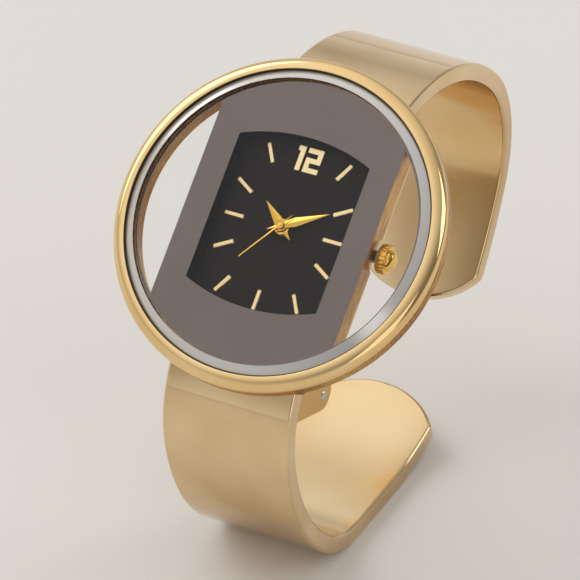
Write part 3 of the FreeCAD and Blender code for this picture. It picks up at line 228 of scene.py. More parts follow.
# dial: brown lacquer sprayed over a fluted blank, nearly black; spray clouds of about 3 mm vary its sheen
sprayedLacquer = clouded("sprayedBrownLacquer", "#1a1310", "#241a15", (0.34, 0.46), 2.857,
                         sockets={"Specular IOR Level": 0.12})
# glass: float mineral glass, polished flat. Its IOR is under the usual 1.52, so that the pale room
# in its reflection doesn't wash over the dark dial. Faint smears of about 8 mm vary its clearness
polishedGlass = clouded("polishedMineralGlass", "#ffffff", "#fafbfb", 0.0, 8.333, detail=2.0,
                        sockets={"Specular IOR Level": 0.08, "Transmission Weight": 1.0, "IOR": 1.25})
# edge of the glass: ground, then half polished, so it shows as a silvery rim. Grit marks are about
# 0.05 mm, drawn 1.1 mm wide as patches of soft and sharp shine
groundBevel = clouded("groundGlassBevel", "#d3d0cc", None, (0.1, 0.22), 1.111, detail=2.0,
                      sockets={"Metallic": 0.6, "IOR": 1.52})

# the back edge of the case wall is cut bright: a pale smooth strip between two levels of the face. Its pale
# colour is a painted highlight in place of the glint that a polished chamfer would catch, and its low
# roughness is the real polish
caseEdgeGlint = {"lowLevel": -3.98, "highLevel": -3.72, "colour": "#f6dfae", "roughness": 0.07}
caseTree = brushedBronzeGold.node_tree
caseShader = next(node for node in caseTree.nodes if node.type == "BSDF_PRINCIPLED")
caseColour = caseShader.inputs["Base Color"].links[0].from_socket
caseRoughness = caseShader.inputs["Roughness"].links[0].from_socket
casePlace = addNode(caseTree, "ShaderNodeSeparateXYZ", None, {"Vector": faceCoordinates(caseTree)})
above = addNode(caseTree, "ShaderNodeMath", {"operation": "GREATER_THAN"},
                {0: casePlace.outputs["Z"], 1: caseEdgeGlint["lowLevel"] * mm})
under = addNode(caseTree, "ShaderNodeMath", {"operation": "LESS_THAN"},
                {0: casePlace.outputs["Z"], 1: caseEdgeGlint["highLevel"] * mm})
onGlintEdge = addNode(caseTree, "ShaderNodeMath", {"operation": "MULTIPLY"}, {0: above, 1: under})
# painted highlight: on the strip the plating's colour is swapped for a paler one that stands in for the light
# its chamfer would catch
paintedGlintColour = addNode(caseTree, "ShaderNodeMix", {"data_type": "RGBA"},
                       {"Factor": onGlintEdge, 6: caseColour, 7: toLinear(caseEdgeGlint["colour"])})
brightRoughness = addNode(caseTree, "ShaderNodeMix", {"data_type": "FLOAT"},
                          {"Factor": onGlintEdge, 2: caseRoughness, 3: caseEdgeGlint["roughness"]})
caseTree.links.new(paintedGlintColour.outputs[2], caseShader.inputs["Base Color"])
caseTree.links.new(brightRoughness.outputs[0], caseShader.inputs["Roughness"])
print("materials made")

dressing = [
    (polishedRoseGold, ["bezel_ring"]),
    (brushedBronzeGold, ["case_body"]),
    (polishedChampagneGold, ["upper_arm", "lower_arm"]),
    (castLugGold, ["upper_arm_ears", "lower_arm_ears", "upper_hinge_block", "lower_hinge_block"]),
    (turnedYellowGold, ["hour_hand", "minute_hand", "second_hand", "crown", "seconds_wheel", "centre_wheel"]),
    (diamondCutGold, ["hour_markers", "numeral_12"]),
    (turnedSteel, ["case_back_screws", "crown_tube", "stem", "clutch_wheel", "movement_screws", "quartz_can",
                   "coil_core", "stator", "battery_strap", "upper_hinge_pin", "lower_hinge_pin"]),
    (satinSteel, ["case_back", "battery"]),
    (drawnSpringSteel, ["upper_hinge_spring", "lower_hinge_spring"]),
    (grainedPlateBrass, ["main_plate", "train_bridge"]),
    (cutWheelBrass, ["drive_wheel", "third_wheel", "minute_wheel", "hour_wheel"]),
    (sinteredMagnet, ["rotor"]),
    (woundEnamelledCopper, ["coil_winding"]),
    (mouldedRubber, ["case_back_gasket", "crown_seal"]),
    (mouldedBlack, ["crystal_gasket", "dial_spacer", "battery_insulator"]),
    (mouldedPale, ["movement_holder"]),
    (pressedBoard, ["circuit_board"]),
    (castEpoxy, ["timing_chip"]),
    (sputteredFilm, ["mirror_mask"]),
    (sprayedLacquer, ["dial"]),
    (polishedGlass, ["crystal"]),
]
for material, nodeNames in dressing:
    for nodeName in nodeNames:
        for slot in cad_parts[nodeName].material_slots:
            slot.material = material
print("nodes dressed", sum(len(nodeNames) for material, nodeNames in dressing))


# a node tree with a named input for each size that it uses, in mm on the face; the angle from which
# an edge is shaded sharp is no input
def startTree(name, sizes, used=None):
    tree = bpy.data.node_groups.new(name, "GeometryNodeTree")
    tree.interface.new_socket("Geometry", in_out="INPUT", socket_type="NodeSocketGeometry")
    for size in used or [size for size in sizes if size != "sharpAngle"]:
        kind = "NodeSocketInt" if isinstance(sizes[size], int) else "NodeSocketFloat"
        tree.interface.new_socket(size, in_out="INPUT", socket_type=kind)
    tree.interface.new_socket("Geometry", in_out="OUTPUT", socket_type="NodeSocketGeometry")
    return tree, addNode(tree, "NodeGroupInput").outputs


# every tree ends in real geometry with its material, and another material on a part of it where one differs
def endTree(tree, shape, material, partMaterial=None, part=None):
    shape = addNode(tree, "GeometryNodeRealizeInstances", None, {"Geometry": shape})
    shape = addNode(tree, "GeometryNodeSetMaterial", None, {"Geometry": shape, "Material": material})
    if partMaterial:
        shape = addNode(tree, "GeometryNodeSetMaterial", None,
                        {"Geometry": shape, "Selection": part, "Material": partMaterial})
    addNode(tree, "NodeGroupOutput", None, {0: shape})


# run the tree once, from a curve where there is one, and keep the result as a plain mesh
def grow(name, tree, sizes, start=None):
    holder = bpy.data.objects.new(name + "Start", start or bpy.data.meshes.new(name + "Start"))
    bpy.context.collection.objects.link(holder)
    modifier = holder.modifiers.new("shape", "NODES")
    modifier.node_group = tree
    for item in tree.interface.items_tree:
        if item.in_out == "INPUT" and item.name in sizes:
            modifier[item.identifier] = sizes[item.name]
    grown = bpy.data.meshes.new_from_object(holder.evaluated_get(bpy.context.evaluated_depsgraph_get()))
    bpy.data.objects.remove(holder)
    return grown


# put a mesh drawn on the face into the watch, and let it ride on its body
def settle(name, mesh, body, sharpAngle, nodeName=None, evenShading=False):
    mesh.transform(faceMatrix @ Matrix.Scale(mm, 4))
    mesh.name = name
    mesh.shade_smooth()
    mesh.set_sharp_from_angle(angle=math.radians(sharpAngle))
    piece = bpy.data.objects.new(name, mesh)
    bpy.context.collection.objects.link(piece)
    if evenShading:
        piece.modifiers.new("evenShading", "WEIGHTED_NORMAL").keep_sharp = True
    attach(piece, body)
    if nodeName:
        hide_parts(nodeName)


# a curve of straight steps through points, for a tree to start from
def stepLine(name, points, closed=False):
    line = bpy.data.curves.new(name, "CURVE")
    line.dimensions = "3D"
    spline = line.splines.new("POLY")
    spline.points.add(len(points) - 1)
    spline.use_cyclic_u = closed
    for point, place in zip(spline.points, points):
        point.co = (*place, 1.0)
    return line


# a circle of vertices at one level of the face
def circleRow(work, radius, level, steps):
    turns = [2 * math.pi * step / steps for step in range(steps)]
    return [work.verts.new((radius * math.cos(turn), radius * math.sin(turn), level)) for turn in turns]


# faces between two rows of vertices that go round
def bandFaces(work, first, second, material=0):
    for step in range(len(first)):
        following = (step + 1) % len(first)
        side = work.faces.new((first[step], second[step], second[following], first[following]))
        side.material_index = material


# merge vertices less than 0.001 mm apart, turn the faces outwards and make a mesh
def finishMesh(name, work, materials):
    bmesh.ops.remove_doubles(work, verts=work.verts, dist=0.001)
    bmesh.ops.recalc_face_normals(work, faces=work.faces)
    mesh = bpy.data.meshes.new(name)
    work.to_mesh(mesh)
    work.free()
    for material in materials:
        mesh.materials.append(material)
    return mesh


# bezel ring: a section of four corners swept round a circle, its outer corner rounded into a crown
ring = {
    "outerRadius": 20.0, "lipRadius": 18.4, "topLevel": 0.1, "lipLevel": -0.02, "seatLevel": -1.45,
    "seatRadius": 20.0, "crownRound": 1.4, "cornerRound": 0.06, "steps": 320, "roundSteps": 16,
    "sharpAngle": 60.0,
}
ringTree, size = startTree("bezelRing", ring)
ringSection = addNode(ringTree, "GeometryNodeCurvePrimitiveQuadrilateral", {"mode": "POINTS"})
for point, radius, level in (("Point 1", "lipRadius", "lipLevel"), ("Point 2", "outerRadius", "topLevel"),
                             ("Point 3", "seatRadius", "seatLevel"), ("Point 4", "lipRadius", "seatLevel")):
    across = addNode(ringTree, "ShaderNodeMath", {"operation": "SUBTRACT"},
                     {0: size[radius], 1: size["outerRadius"]})
    down = addNode(ringTree, "ShaderNodeMath", {"operation": "MULTIPLY"}, {0: size[level], 1: -1.0})
    corner = addNode(ringTree, "ShaderNodeCombineXYZ", None, {"X": across, "Y": down})
    ringTree.links.new(corner.outputs[0], ringSection.inputs[point])
cornerNumber = addNode(ringTree, "GeometryNodeInputIndex")
isCrown = addNode(ringTree, "FunctionNodeCompare", {"data_type": "INT", "operation": "EQUAL"},
                  {2: cornerNumber, 3: 1})
rounding = addNode(ringTree, "GeometryNodeSwitch", {"input_type": "FLOAT"},
                   {"Switch": isCrown, "False": size["cornerRound"], "True": size["crownRound"]})
ringRounded = addNode(ringTree, "GeometryNodeFilletCurve", {"mode": "POLY"},
                      {"Curve": ringSection, "Count": size["roundSteps"], "Radius": rounding})
ringPath = addNode(ringTree, "GeometryNodeCurvePrimitiveCircle", None,
                   {"Resolution": size["steps"], "Radius": size["outerRadius"]})
ringSwept = addNode(ringTree, "GeometryNodeCurveToMesh", None,
                    {"Curve": ringPath, "Profile Curve": ringRounded})
endTree(ringTree, ringSwept, polishedRoseGold)
settle("bezelRing", grow("bezelRing", ringTree, ring), "head", ring["sharpAngle"], "bezel_ring")

# crystal: flat glass with a ground bevel, turned in fine steps
crystal = {
    "radius": 18.25, "flatRadius": 17.2, "topLevel": 0.2, "bevelLevel": -0.4, "seatLevel": -0.64,
    "steps": 320, "sharpAngle": 10.0,
}
glass = bmesh.new()
flatRow = circleRow(glass, crystal["flatRadius"], crystal["topLevel"], crystal["steps"])
bevelRow = circleRow(glass, crystal["radius"], crystal["bevelLevel"], crystal["steps"])
seatRow = circleRow(glass, crystal["radius"], crystal["seatLevel"], crystal["steps"])
glass.faces.new(flatRow)
glass.faces.new(list(reversed(seatRow)))
bandFaces(glass, flatRow, bevelRow, 1)
bandFaces(glass, bevelRow, seatRow)
settle("crystalGlass", finishMesh("crystal", glass, [polishedGlass, groundBevel]), "head",
       crystal["sharpAngle"], "crystal")
print("ring and crystal made")

# arms of the cuff: a rounded strip that follows a line of arcs and ends in a flat bow
arms = {
    "halfWidth": 8.1, "thickness": 2.2, "edgeRound": 0.4, "edgeSteps": 6, "tipBow": 4.4,
    "innerDepth": 0.01,     # how far in from its inner face the strip still counts as inside
    "weldDistance": 0.002, "sharpAngle": 40.0,
}
# each line starts at a place and heading in the plane across the watch, and bends are radius and degrees;
# a radius of 0 is a straight run in mm
armRoutes = {
    "lowerArm": {"start": (-17.9, -4.0), "heading": 197.2, "side": -1,
                 "bends": [(14.8, 41.0), (29.4, 38.8), (14.1, 41.9), (0.0, 8.0), (38.0, 24.3)],
                 "body": "lower_cuff", "node": "lower_arm"},
    "upperArm": {"start": (17.4, -5.2), "heading": -33.2, "side": 1,
                 "bends": [(28.5, 23.4), (30.4, 30.7), (15.5, 67.4), (48.0, 20.0)],
                 "body": "upper_cuff", "node": "upper_arm"},
}
armDivision = {"steps": 90, "tipRun": 4.6, "tipSteps": 24}


# outer line of an arm: even steps, then closer and closer ones over the last run to the tip
def armLine(route):
    total = sum(radius * math.radians(sweep) if radius else sweep for radius, sweep in route["bends"])
    steps, tipRun, tipSteps = armDivision["steps"], armDivision["tipRun"], armDivision["tipSteps"]
    evenLengths = [total * step / steps for step in range(steps + 1)]
    lengths = [length for length in evenLengths if length < total - tipRun]
    lengths += [total - tipRun * (1 - step / tipSteps) ** 2 for step in range(tipSteps + 1)]
    points = []
    for length in lengths:
        y, z = route["start"]
        angle = math.radians(route["heading"])
        left = length
        for radius, sweep in route["bends"]:
            run = radius * math.radians(sweep) if radius else sweep
            part = min(left, run)
            if radius:
                centreY = y + route["side"] * radius * math.sin(angle)
                centreZ = z - route["side"] * radius * math.cos(angle)
                turn = -route["side"] * part / radius
                outY, outZ = y - centreY, z - centreZ
                y = centreY + outY * math.cos(turn) - outZ * math.sin(turn)
                z = centreZ + outY * math.sin(turn) + outZ * math.cos(turn)
                angle += turn
            else:
                y += part * math.cos(angle)
                z += part * math.sin(angle)
            left -= part
            if left <= 0:
                break
        points.append((0, y, z))
    return points


armTree, size = startTree("cuffArm", arms)
# the line keeps its heading and its distance to the tip
lineLength = addNode(armTree, "GeometryNodeSplineLength")
along = addNode(armTree, "GeometryNodeSplineParameter")
heading = addNode(armTree, "GeometryNodeInputTangent")
toTip = addNode(armTree, "ShaderNodeMath", {"operation": "SUBTRACT"},
                {0: lineLength.outputs["Length"], 1: along.outputs["Length"]})
keepLine = addNode(armTree, "GeometryNodeCaptureAttribute")
keepLine.capture_items.new("FLOAT", "fromTip")
keepLine.capture_items.new("VECTOR", "heading")
armTree.links.new(size["Geometry"], keepLine.inputs["Geometry"])
armTree.links.new(toTip.outputs[0], keepLine.inputs["fromTip"])
armTree.links.new(heading.outputs[0], keepLine.inputs["heading"])
fromTip = keepLine.outputs["fromTip"]
# the section keeps its own place, and is then moved so that the line runs along the strip's outer face
width = addNode(armTree, "ShaderNodeMath", {"operation": "MULTIPLY"}, {0: size["halfWidth"], 1: 2.0})
strip = addNode(armTree, "GeometryNodeCurvePrimitiveQuadrilateral", {"mode": "RECTANGLE"},
                {"Width": width, "Height": size["thickness"]})
stripRounded = addNode(armTree, "GeometryNodeFilletCurve", {"mode": "POLY"},
                       {"Curve": strip, "Count": size["edgeSteps"], "Radius": size["edgeRound"]})
sectionPlace = addNode(armTree, "GeometryNodeInputPosition")
keepSection = addNode(armTree, "GeometryNodeCaptureAttribute")
keepSection.capture_items.new("VECTOR", "section")
armTree.links.new(stripRounded.outputs[0], keepSection.inputs["Geometry"])
armTree.links.new(sectionPlace.outputs[0], keepSection.inputs["section"])
halfThick = addNode(armTree, "ShaderNodeMath", {"operation": "MULTIPLY"}, {0: size["thickness"], 1: 0.5})
inset = addNode(armTree, "ShaderNodeCombineXYZ", None, {"Y": halfThick})
stripPlaced = addNode(armTree, "GeometryNodeTransform", None,
                      {"Geometry": keepSection.outputs["Geometry"], "Translation": inset})
swept = addNode(armTree, "GeometryNodeCurveToMesh", None,
                {"Curve": keepLine.outputs["Geometry"], "Profile Curve": stripPlaced, "Fill Caps": True})
section = addNode(armTree, "ShaderNodeSeparateXYZ", None, {"Vector": keepSection.outputs["section"]})
# near the tip the strip narrows along an arc that is tipBow deep and as wide as the strip
fromMiddle = addNode(armTree, "ShaderNodeMath", {"operation": "ABSOLUTE"}, {0: section.outputs["X"]})
fromEdge = addNode(armTree, "ShaderNodeMath", {"operation": "SUBTRACT"},
                   {0: size["halfWidth"], 1: fromMiddle})
tipDistance = addNode(armTree, "ShaderNodeMath", {"operation": "MAXIMUM"}, {0: fromTip, 1: fromEdge})
widthSquare = addNode(armTree, "ShaderNodeMath", {"operation": "POWER"}, {0: size["halfWidth"], 1: 2.0})
bowSquare = addNode(armTree, "ShaderNodeMath", {"operation": "POWER"}, {0: size["tipBow"], 1: 2.0})
bothSquares = addNode(armTree, "ShaderNodeMath", {"operation": "ADD"}, {0: widthSquare, 1: bowSquare})
twiceBow = addNode(armTree, "ShaderNodeMath", {"operation": "MULTIPLY"}, {0: size["tipBow"], 1: 2.0})
bowRadius = addNode(armTree, "ShaderNodeMath", {"operation": "DIVIDE"}, {0: bothSquares, 1: twiceBow})
outerReach = addNode(armTree, "ShaderNodeMath", {"operation": "SUBTRACT"}, {0: bowRadius, 1: fromEdge})
outerSquare = addNode(armTree, "ShaderNodeMath", {"operation": "POWER"}, {0: outerReach, 1: 2.0})
backReach = addNode(armTree, "ShaderNodeMath", {"operation": "SUBTRACT"}, {0: bowRadius, 1: tipDistance})
backSquare = addNode(armTree, "ShaderNodeMath", {"operation": "POWER"}, {0: backReach, 1: 2.0})
sideSquare = addNode(armTree, "ShaderNodeMath", {"operation": "SUBTRACT"}, {0: outerSquare, 1: backSquare})
sideSafe = addNode(armTree, "ShaderNodeMath", {"operation": "MAXIMUM"}, {0: sideSquare, 1: 0.0})
bowWidth = addNode(armTree, "ShaderNodeMath", {"operation": "SQRT"}, {0: sideSafe})
sideWidth = addNode(armTree, "ShaderNodeMath", {"operation": "SUBTRACT"}, {0: size["halfWidth"], 1: fromEdge})
tipWidth = addNode(armTree, "ShaderNodeMath", {"operation": "MINIMUM"}, {0: sideWidth, 1: bowWidth})
nearTip = addNode(armTree, "FunctionNodeCompare", {"data_type": "FLOAT", "operation": "LESS_THAN"},
                  {0: tipDistance, 1: size["tipBow"]})
newWidth = addNode(armTree, "GeometryNodeSwitch", {"input_type": "FLOAT"},
                   {"Switch": nearTip, "False": sideWidth, "True": tipWidth})
# the rounded edge goes round the tip as well: its points are pulled back along the line
meshPlace = addNode(armTree, "GeometryNodeInputPosition")
meshParts = addNode(armTree, "ShaderNodeSeparateXYZ", None, {"Vector": meshPlace})
side = addNode(armTree, "ShaderNodeMath", {"operation": "SIGN"}, {0: meshParts.outputs["X"]})
newAcross = addNode(armTree, "ShaderNodeMath", {"operation": "MULTIPLY"}, {0: side, 1: newWidth})
pull = addNode(armTree, "ShaderNodeMath", {"operation": "SUBTRACT"}, {0: fromTip, 1: tipDistance})
pulled = addNode(armTree, "ShaderNodeVectorMath", {"operation": "SCALE"},
                 {0: keepLine.outputs["heading"], "Scale": pull})
shifted = addNode(armTree, "ShaderNodeVectorMath", {"operation": "ADD"}, {0: meshPlace, 1: pulled})
shiftedParts = addNode(armTree, "ShaderNodeSeparateXYZ", None, {"Vector": shifted})
newPlace = addNode(armTree, "ShaderNodeCombineXYZ", None,
                   {"X": newAcross, "Y": shiftedParts.outputs["Y"], "Z": shiftedParts.outputs["Z"]})
shaped = addNode(armTree, "GeometryNodeSetPosition", None, {"Geometry": swept, "Position": newPlace})
joined = addNode(armTree, "GeometryNodeMergeByDistance", None,
                 {"Geometry": shaped, "Distance": size["weldDistance"]})
innerLevel = addNode(armTree, "ShaderNodeMath", {"operation": "SUBTRACT"},
                     {0: halfThick, 1: size["innerDepth"]})
isInner = addNode(armTree, "FunctionNodeCompare", {"data_type": "FLOAT", "operation": "GREATER_THAN"},
                  {0: section.outputs["Y"], 1: innerLevel})
endTree(armTree, joined, polishedChampagneGold, tumbledGold, isInner)
for armName, route in armRoutes.items():
    armMesh = grow(armName, armTree, arms, stepLine(armName + "Line", armLine(route)))
    settle(armName, armMesh, route["body"], arms["sharpAngle"], route["node"], evenShading=True)
print("arms made")

# hands: two facets that meet in a ridge, on a flat hub with small chamfers
hands = {
    "hourHand": {"length": 3.8, "tail": 2.0, "halfWidth": 0.6, "wideAt": 0.65, "tipHalf": 0.012,
                 "ridge": 0.1, "hub": 0.95, "bore": 0.68, "level": -2.3, "angle": 139.5,
                 "body": "hours", "node": "hour_hand"},
    "minuteHand": {"length": 5.9, "tail": 1.7, "halfWidth": 0.56, "wideAt": 1.75, "tipHalf": 0.012,
                   "ridge": 0.1, "hub": 0.62, "bore": 0.38, "level": -1.95, "angle": 28.5,
                   "body": "minutes", "node": "minute_hand"},
    "secondHand": {"length": 5.95, "tail": 1.85, "halfWidth": 0.09, "wideAt": 0.0, "tipHalf": 0.06,
                   "ridge": 0.0, "hub": 0.42, "bore": 0.14, "level": -1.6, "angle": 234.7,
                   "body": "seconds", "node": "second_hand"},
}
handShape = {
    "thickness": 0.12, "tailHalf": 0.03, "edgeDrop": 0.05, "ridgeDrop": 0.02,
    "ridgeFullHalf": 0.5,   # half width from which the ridge has its full height
    "shortestRun": 0.05, "hubOverlap": 0.1, "hubRise": 0.01, "hubChamfer": (0.05, 0.04), "boreChamfer": 0.02,
    "hubSteps": 64, "sharpAngle": 12.0,
}


def handHalfWidth(hand, distance):
    if distance >= hand["wideAt"]:
        share = (hand["length"] - distance) / (hand["length"] - hand["wideAt"])
        return max(hand["tipHalf"], hand["halfWidth"] * share)
    share = max(0.0, (distance + hand["tail"]) / (hand["wideAt"] + hand["tail"]))
    return handShape["tailHalf"] + (hand["halfWidth"] - handShape["tailHalf"]) * share


for handName, hand in hands.items():
    work = bmesh.new()
    low = hand["level"]
    high = low + handShape["thickness"]
    start = hand["hub"] - handShape["hubOverlap"]
    widest = max(start + handShape["shortestRun"], hand["wideAt"])
    for stations in ((start, widest, hand["length"]), (-start, -hand["tail"])):
        rings = []
        for distance in stations:
            half = handHalfWidth(hand, distance)
            edge = high - handShape["edgeDrop"]
            rise = hand["ridge"] * min(1.0, half / handShape["ridgeFullHalf"])
            corners = ((-half, low), (-half, edge), (0, high - handShape["ridgeDrop"] + rise), (half, edge),
                       (half, low))
            rings.append([work.verts.new((distance, across, level)) for across, level in corners])
        for first, second in zip(rings, rings[1:]):
            bandFaces(work, first, second)
        work.faces.new(rings[0])
        work.faces.new(list(reversed(rings[-1])))
    hubTop = high + handShape["hubRise"]
    hubIn, hubDown = handShape["hubChamfer"]
    boreCut = handShape["boreChamfer"]
    hubSection = ((hand["bore"], low), (hand["hub"], low), (hand["hub"], hubTop - hubDown),
                  (hand["hub"] - hubIn, hubTop), (hand["bore"] + boreCut, hubTop),
                  (hand["bore"], hubTop - boreCut))
    rows = [circleRow(work, radius, level, handShape["hubSteps"]) for radius, level in hubSection]
    for first, second in zip(rows, rows[1:] + rows[:1]):
        bandFaces(work, first, second)
    handMesh = finishMesh(handName, work, [turnedYellowGold])
    handMesh.transform(Matrix.Rotation(math.radians(hand["angle"]), 4, "Z"))
    settle(handName, handMesh, hand["body"], handShape["sharpAngle"], hand["node"])
print("hands made")

# crown: ridges set round a drum, and a domed end; it is built upright and then laid across the watch
crown = {
    "radius": 1.75, "start": 12.0, "shoulder": 13.1, "end": 13.95, "level": -4.1, "domeStep": 0.5,
    "ridges": 24, "ridgeRadius": 0.13, "ridgeInset": 0.1, "ridgeSteps": 12, "drumSteps": 96, "domeRings": 48,
    "sharpAngle": 30.0,
}
crownTree, size = startTree("crown", crown)
drumLength = addNode(crownTree, "ShaderNodeMath", {"operation": "SUBTRACT"},
                     {0: size["shoulder"], 1: size["start"]})
drumRadius = addNode(crownTree, "ShaderNodeMath", {"operation": "SUBTRACT"},
                     {0: size["radius"], 1: size["ridgeRadius"]})
drum = addNode(crownTree, "GeometryNodeMeshCylinder", None,
               {"Vertices": size["drumSteps"], "Radius": drumRadius, "Depth": drumLength})
ridgeCircle = addNode(crownTree, "GeometryNodeCurvePrimitiveCircle", None,
                      {"Resolution": size["ridges"], "Radius": drumRadius})
ridgeLength = addNode(crownTree, "ShaderNodeMath", {"operation": "SUBTRACT"},
                      {0: drumLength, 1: size["ridgeInset"]})
ridge = addNode(crownTree, "GeometryNodeMeshCylinder", None,
                {"Vertices": size["ridgeSteps"], "Radius": size["ridgeRadius"], "Depth": ridgeLength})
ridges = addNode(crownTree, "GeometryNodeInstanceOnPoints", None, {"Points": ridgeCircle, "Instance": ridge})
domeHeight = addNode(crownTree, "ShaderNodeMath", {"operation": "SUBTRACT"},
                     {0: size["end"], 1: size["shoulder"]})
domeEdge = addNode(crownTree, "ShaderNodeMath", {"operation": "SUBTRACT"},
                   {0: size["radius"], 1: size["domeStep"]})
domeScale = addNode(crownTree, "ShaderNodeCombineXYZ", None, {"X": domeEdge, "Y": domeEdge, "Z": domeHeight})
dome = addNode(crownTree, "GeometryNodeMeshUVSphere", None,
               {"Segments": size["drumSteps"], "Rings": size["domeRings"], "Radius": 1.0})
halfDrum = addNode(crownTree, "ShaderNodeMath", {"operation": "MULTIPLY"}, {0: drumLength, 1: 0.5})
domeLift = addNode(crownTree, "ShaderNodeCombineXYZ", None, {"Z": halfDrum})
domePlaced = addNode(crownTree, "GeometryNodeTransform", None,
                     {"Geometry": dome, "Translation": domeLift, "Scale": domeScale})
crownJoined = addNode(crownTree, "GeometryNodeJoinGeometry")
for part in (drum, ridges, domePlaced):
    crownTree.links.new(part.outputs[0], crownJoined.inputs[0])
drumMiddle = addNode(crownTree, "ShaderNodeMath", {"operation": "ADD"}, {0: size["start"], 1: halfDrum})
crownPlace = addNode(crownTree, "ShaderNodeCombineXYZ", None, {"X": drumMiddle, "Z": size["level"]})
crownLaid = addNode(crownTree, "GeometryNodeTransform", None,
                    {"Geometry": crownJoined, "Rotation": (0, math.pi / 2, 0), "Translation": crownPlace})
endTree(crownTree, crownLaid, turnedYellowGold)
settle("crownKnob", grow("crownKnob", crownTree, crown), "winder", crown["sharpAngle"], "crown")
print("crown made")

# wall of the dial window: fine upright ribs set side by side along its outline, two arcs joined by straights
wall = {
    "halfWidth": 8.5, "halfLength": 9.12, "bow": 1.62, "arcSteps": 24, "pitch": 0.3, "ribRadius": 0.07,
    "ribSteps": 8, "low": -2.88, "high": -0.82, "sharpAngle": 50.0,
}
bendRadius = (wall["halfWidth"] ** 2 + wall["bow"] ** 2) / (2 * wall["bow"])
bendAngle = math.asin(wall["halfWidth"] / bendRadius)
bendMiddle = wall["halfLength"] + wall["bow"] - bendRadius
outline = []
for end in (1, -1):
    for step in range(wall["arcSteps"] + 1):
        turn = end * (math.pi / 2) + bendAngle * (1 - 2 * step / wall["arcSteps"])
        across, up = bendRadius * math.cos(turn), end * bendMiddle + bendRadius * math.sin(turn)
        outline.append((across, up, wall["low"]))
wallTree, size = startTree("windowRibs", wall, ("pitch", "ribRadius", "ribSteps", "low", "high"))
ribPoints = addNode(wallTree, "GeometryNodeResampleCurve", {"mode": "LENGTH"},
                    {"Curve": size["Geometry"], "Length": size["pitch"]})
ribHeight = addNode(wallTree, "ShaderNodeMath", {"operation": "SUBTRACT"}, {0: size["high"], 1: size["low"]})
rib = addNode(wallTree, "GeometryNodeMeshCylinder", None,
              {"Vertices": size["ribSteps"], "Radius": size["ribRadius"], "Depth": ribHeight})
halfRib = addNode(wallTree, "ShaderNodeMath", {"operation": "MULTIPLY"}, {0: ribHeight, 1: 0.5})
ribLift = addNode(wallTree, "ShaderNodeCombineXYZ", None, {"Z": halfRib})
ribPlaced = addNode(wallTree, "GeometryNodeTransform", None, {"Geometry": rib, "Translation": ribLift})
ribs = addNode(wallTree, "GeometryNodeInstanceOnPoints", None, {"Points": ribPoints, "Instance": ribPlaced})
endTree(wallTree, ribs, mouldedBlack)
ribMesh = grow("windowRibs", wallTree, wall, stepLine("windowOutline", outline, closed=True))
settle("windowRibs", ribMesh, "head", wall["sharpAngle"])
print("window ribs made")

# studio: pale floor, three soft boxes and pale surroundings that are darker on the right
studio = {
    "floorColour": "#e6e2dc", "floorRoughness": 0.7, "floorSize": 6.0,
    "aim": (0, 0.012, -0.012),      # what the lamps point at, in metres from the middle of the glass
    "lamps": {
        "keyLight": {"place": (-0.9, 0.1, 0.75), "size": 0.8, "power": 3.6},
        "rimLight": {"place": (0.75, 0.35, 0.45), "size": 0.5, "power": 1.4},
        "fillLight": {"place": (0.75, -0.75, 0.3), "size": 0.6, "power": 1.0},
    },
    # heights from the horizon, 0, to straight up, 1, each with its linear colour
    "sky": [(0.0, (0.72, 0.71, 0.69, 1)), (0.3, (0.5, 0.49, 0.47, 1)), (0.85, (1, 1, 1, 1))],
    "skySides": (-0.5, 0.9), "skyStrengths": (1.1, 0.4),    # strength on the left and on the right
}
bpy.ops.mesh.primitive_plane_add(size=studio["floorSize"], location=(0, 0, 0))
floor = bpy.context.object
floor.name = "floor"
floorMaterial, floorTree, floorShader = newMaterial("paleFloor")
floorShader.inputs["Base Color"].default_value = toLinear(studio["floorColour"])
floorShader.inputs["Roughness"].default_value = studio["floorRoughness"]
floor.data.materials.append(floorMaterial)

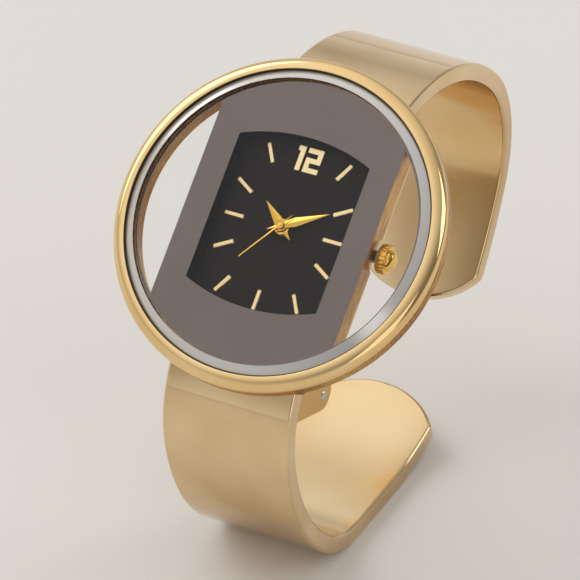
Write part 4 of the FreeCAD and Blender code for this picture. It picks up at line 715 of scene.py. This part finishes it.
aim = faceOrigin + Vector(studio["aim"])
for lampName, lamp in studio["lamps"].items():
    light = bpy.data.lights.new(lampName, "AREA")
    light.shape = "SQUARE"
    light.size = lamp["size"]
    light.energy = lamp["power"]
    softBox = bpy.data.objects.new(lampName, light)
    bpy.context.collection.objects.link(softBox)
    softBox.location = lamp["place"]
    softBox.rotation_euler = (aim - Vector(lamp["place"])).to_track_quat("-Z", "Y").to_euler()

world = bpy.data.worlds.new("studioWorld")
bpy.context.scene.world = world
world.use_nodes = True
worldTree = world.node_tree
worldTree.nodes.clear()
direction = addNode(worldTree, "ShaderNodeTexCoord")
split = addNode(worldTree, "ShaderNodeSeparateXYZ", None, {"Vector": direction.outputs["Generated"]})
skyRamp = addNode(worldTree, "ShaderNodeValToRGB", None, {"Fac": split.outputs["Z"]})
skyRamp.color_ramp.elements[0].color = studio["sky"][0][1]
for height, colour in studio["sky"][1:]:
    skyRamp.color_ramp.elements.new(height).color = colour
leftEdge, rightEdge = studio["skySides"]
leftStrength, rightStrength = studio["skyStrengths"]
sideShade = addNode(worldTree, "ShaderNodeMapRange", None,
                    {"Value": split.outputs["X"], "From Min": leftEdge, "From Max": rightEdge,
                     "To Min": leftStrength, "To Max": rightStrength})
sky = addNode(worldTree, "ShaderNodeBackground", None, {"Color": skyRamp, "Strength": sideShade})
addNode(worldTree, "ShaderNodeOutputWorld", None, {"Surface": sky})

# camera at the photograph's place, from a fit to the ring, the glass and the dial
cameraFit = {
    "fromFace": (270.438, -524.374, 394.513),   # mm from the middle of the glass
    "forward": (-0.376248, 0.734312, -0.564997),
    "focalPixels": 6235.83, "framePixels": 580, "sensorWidth": 36.0, "clipEnd": 20.0,
}
cameraData = bpy.data.cameras.new("camera")
cameraData.sensor_width = cameraFit["sensorWidth"]
cameraData.lens = cameraFit["sensorWidth"] * cameraFit["focalPixels"] / cameraFit["framePixels"]
cameraData.clip_end = cameraFit["clipEnd"]
camera = bpy.data.objects.new("camera", cameraData)
bpy.context.collection.objects.link(camera)
camera.location = faceOrigin + Vector(cameraFit["fromFace"]) * mm
camera.rotation_euler = Vector(cameraFit["forward"]).to_track_quat("-Z", "Y").to_euler()
bpy.context.scene.camera = camera
bpy.context.scene.view_settings.view_transform = "Standard"
print("studio and camera set")
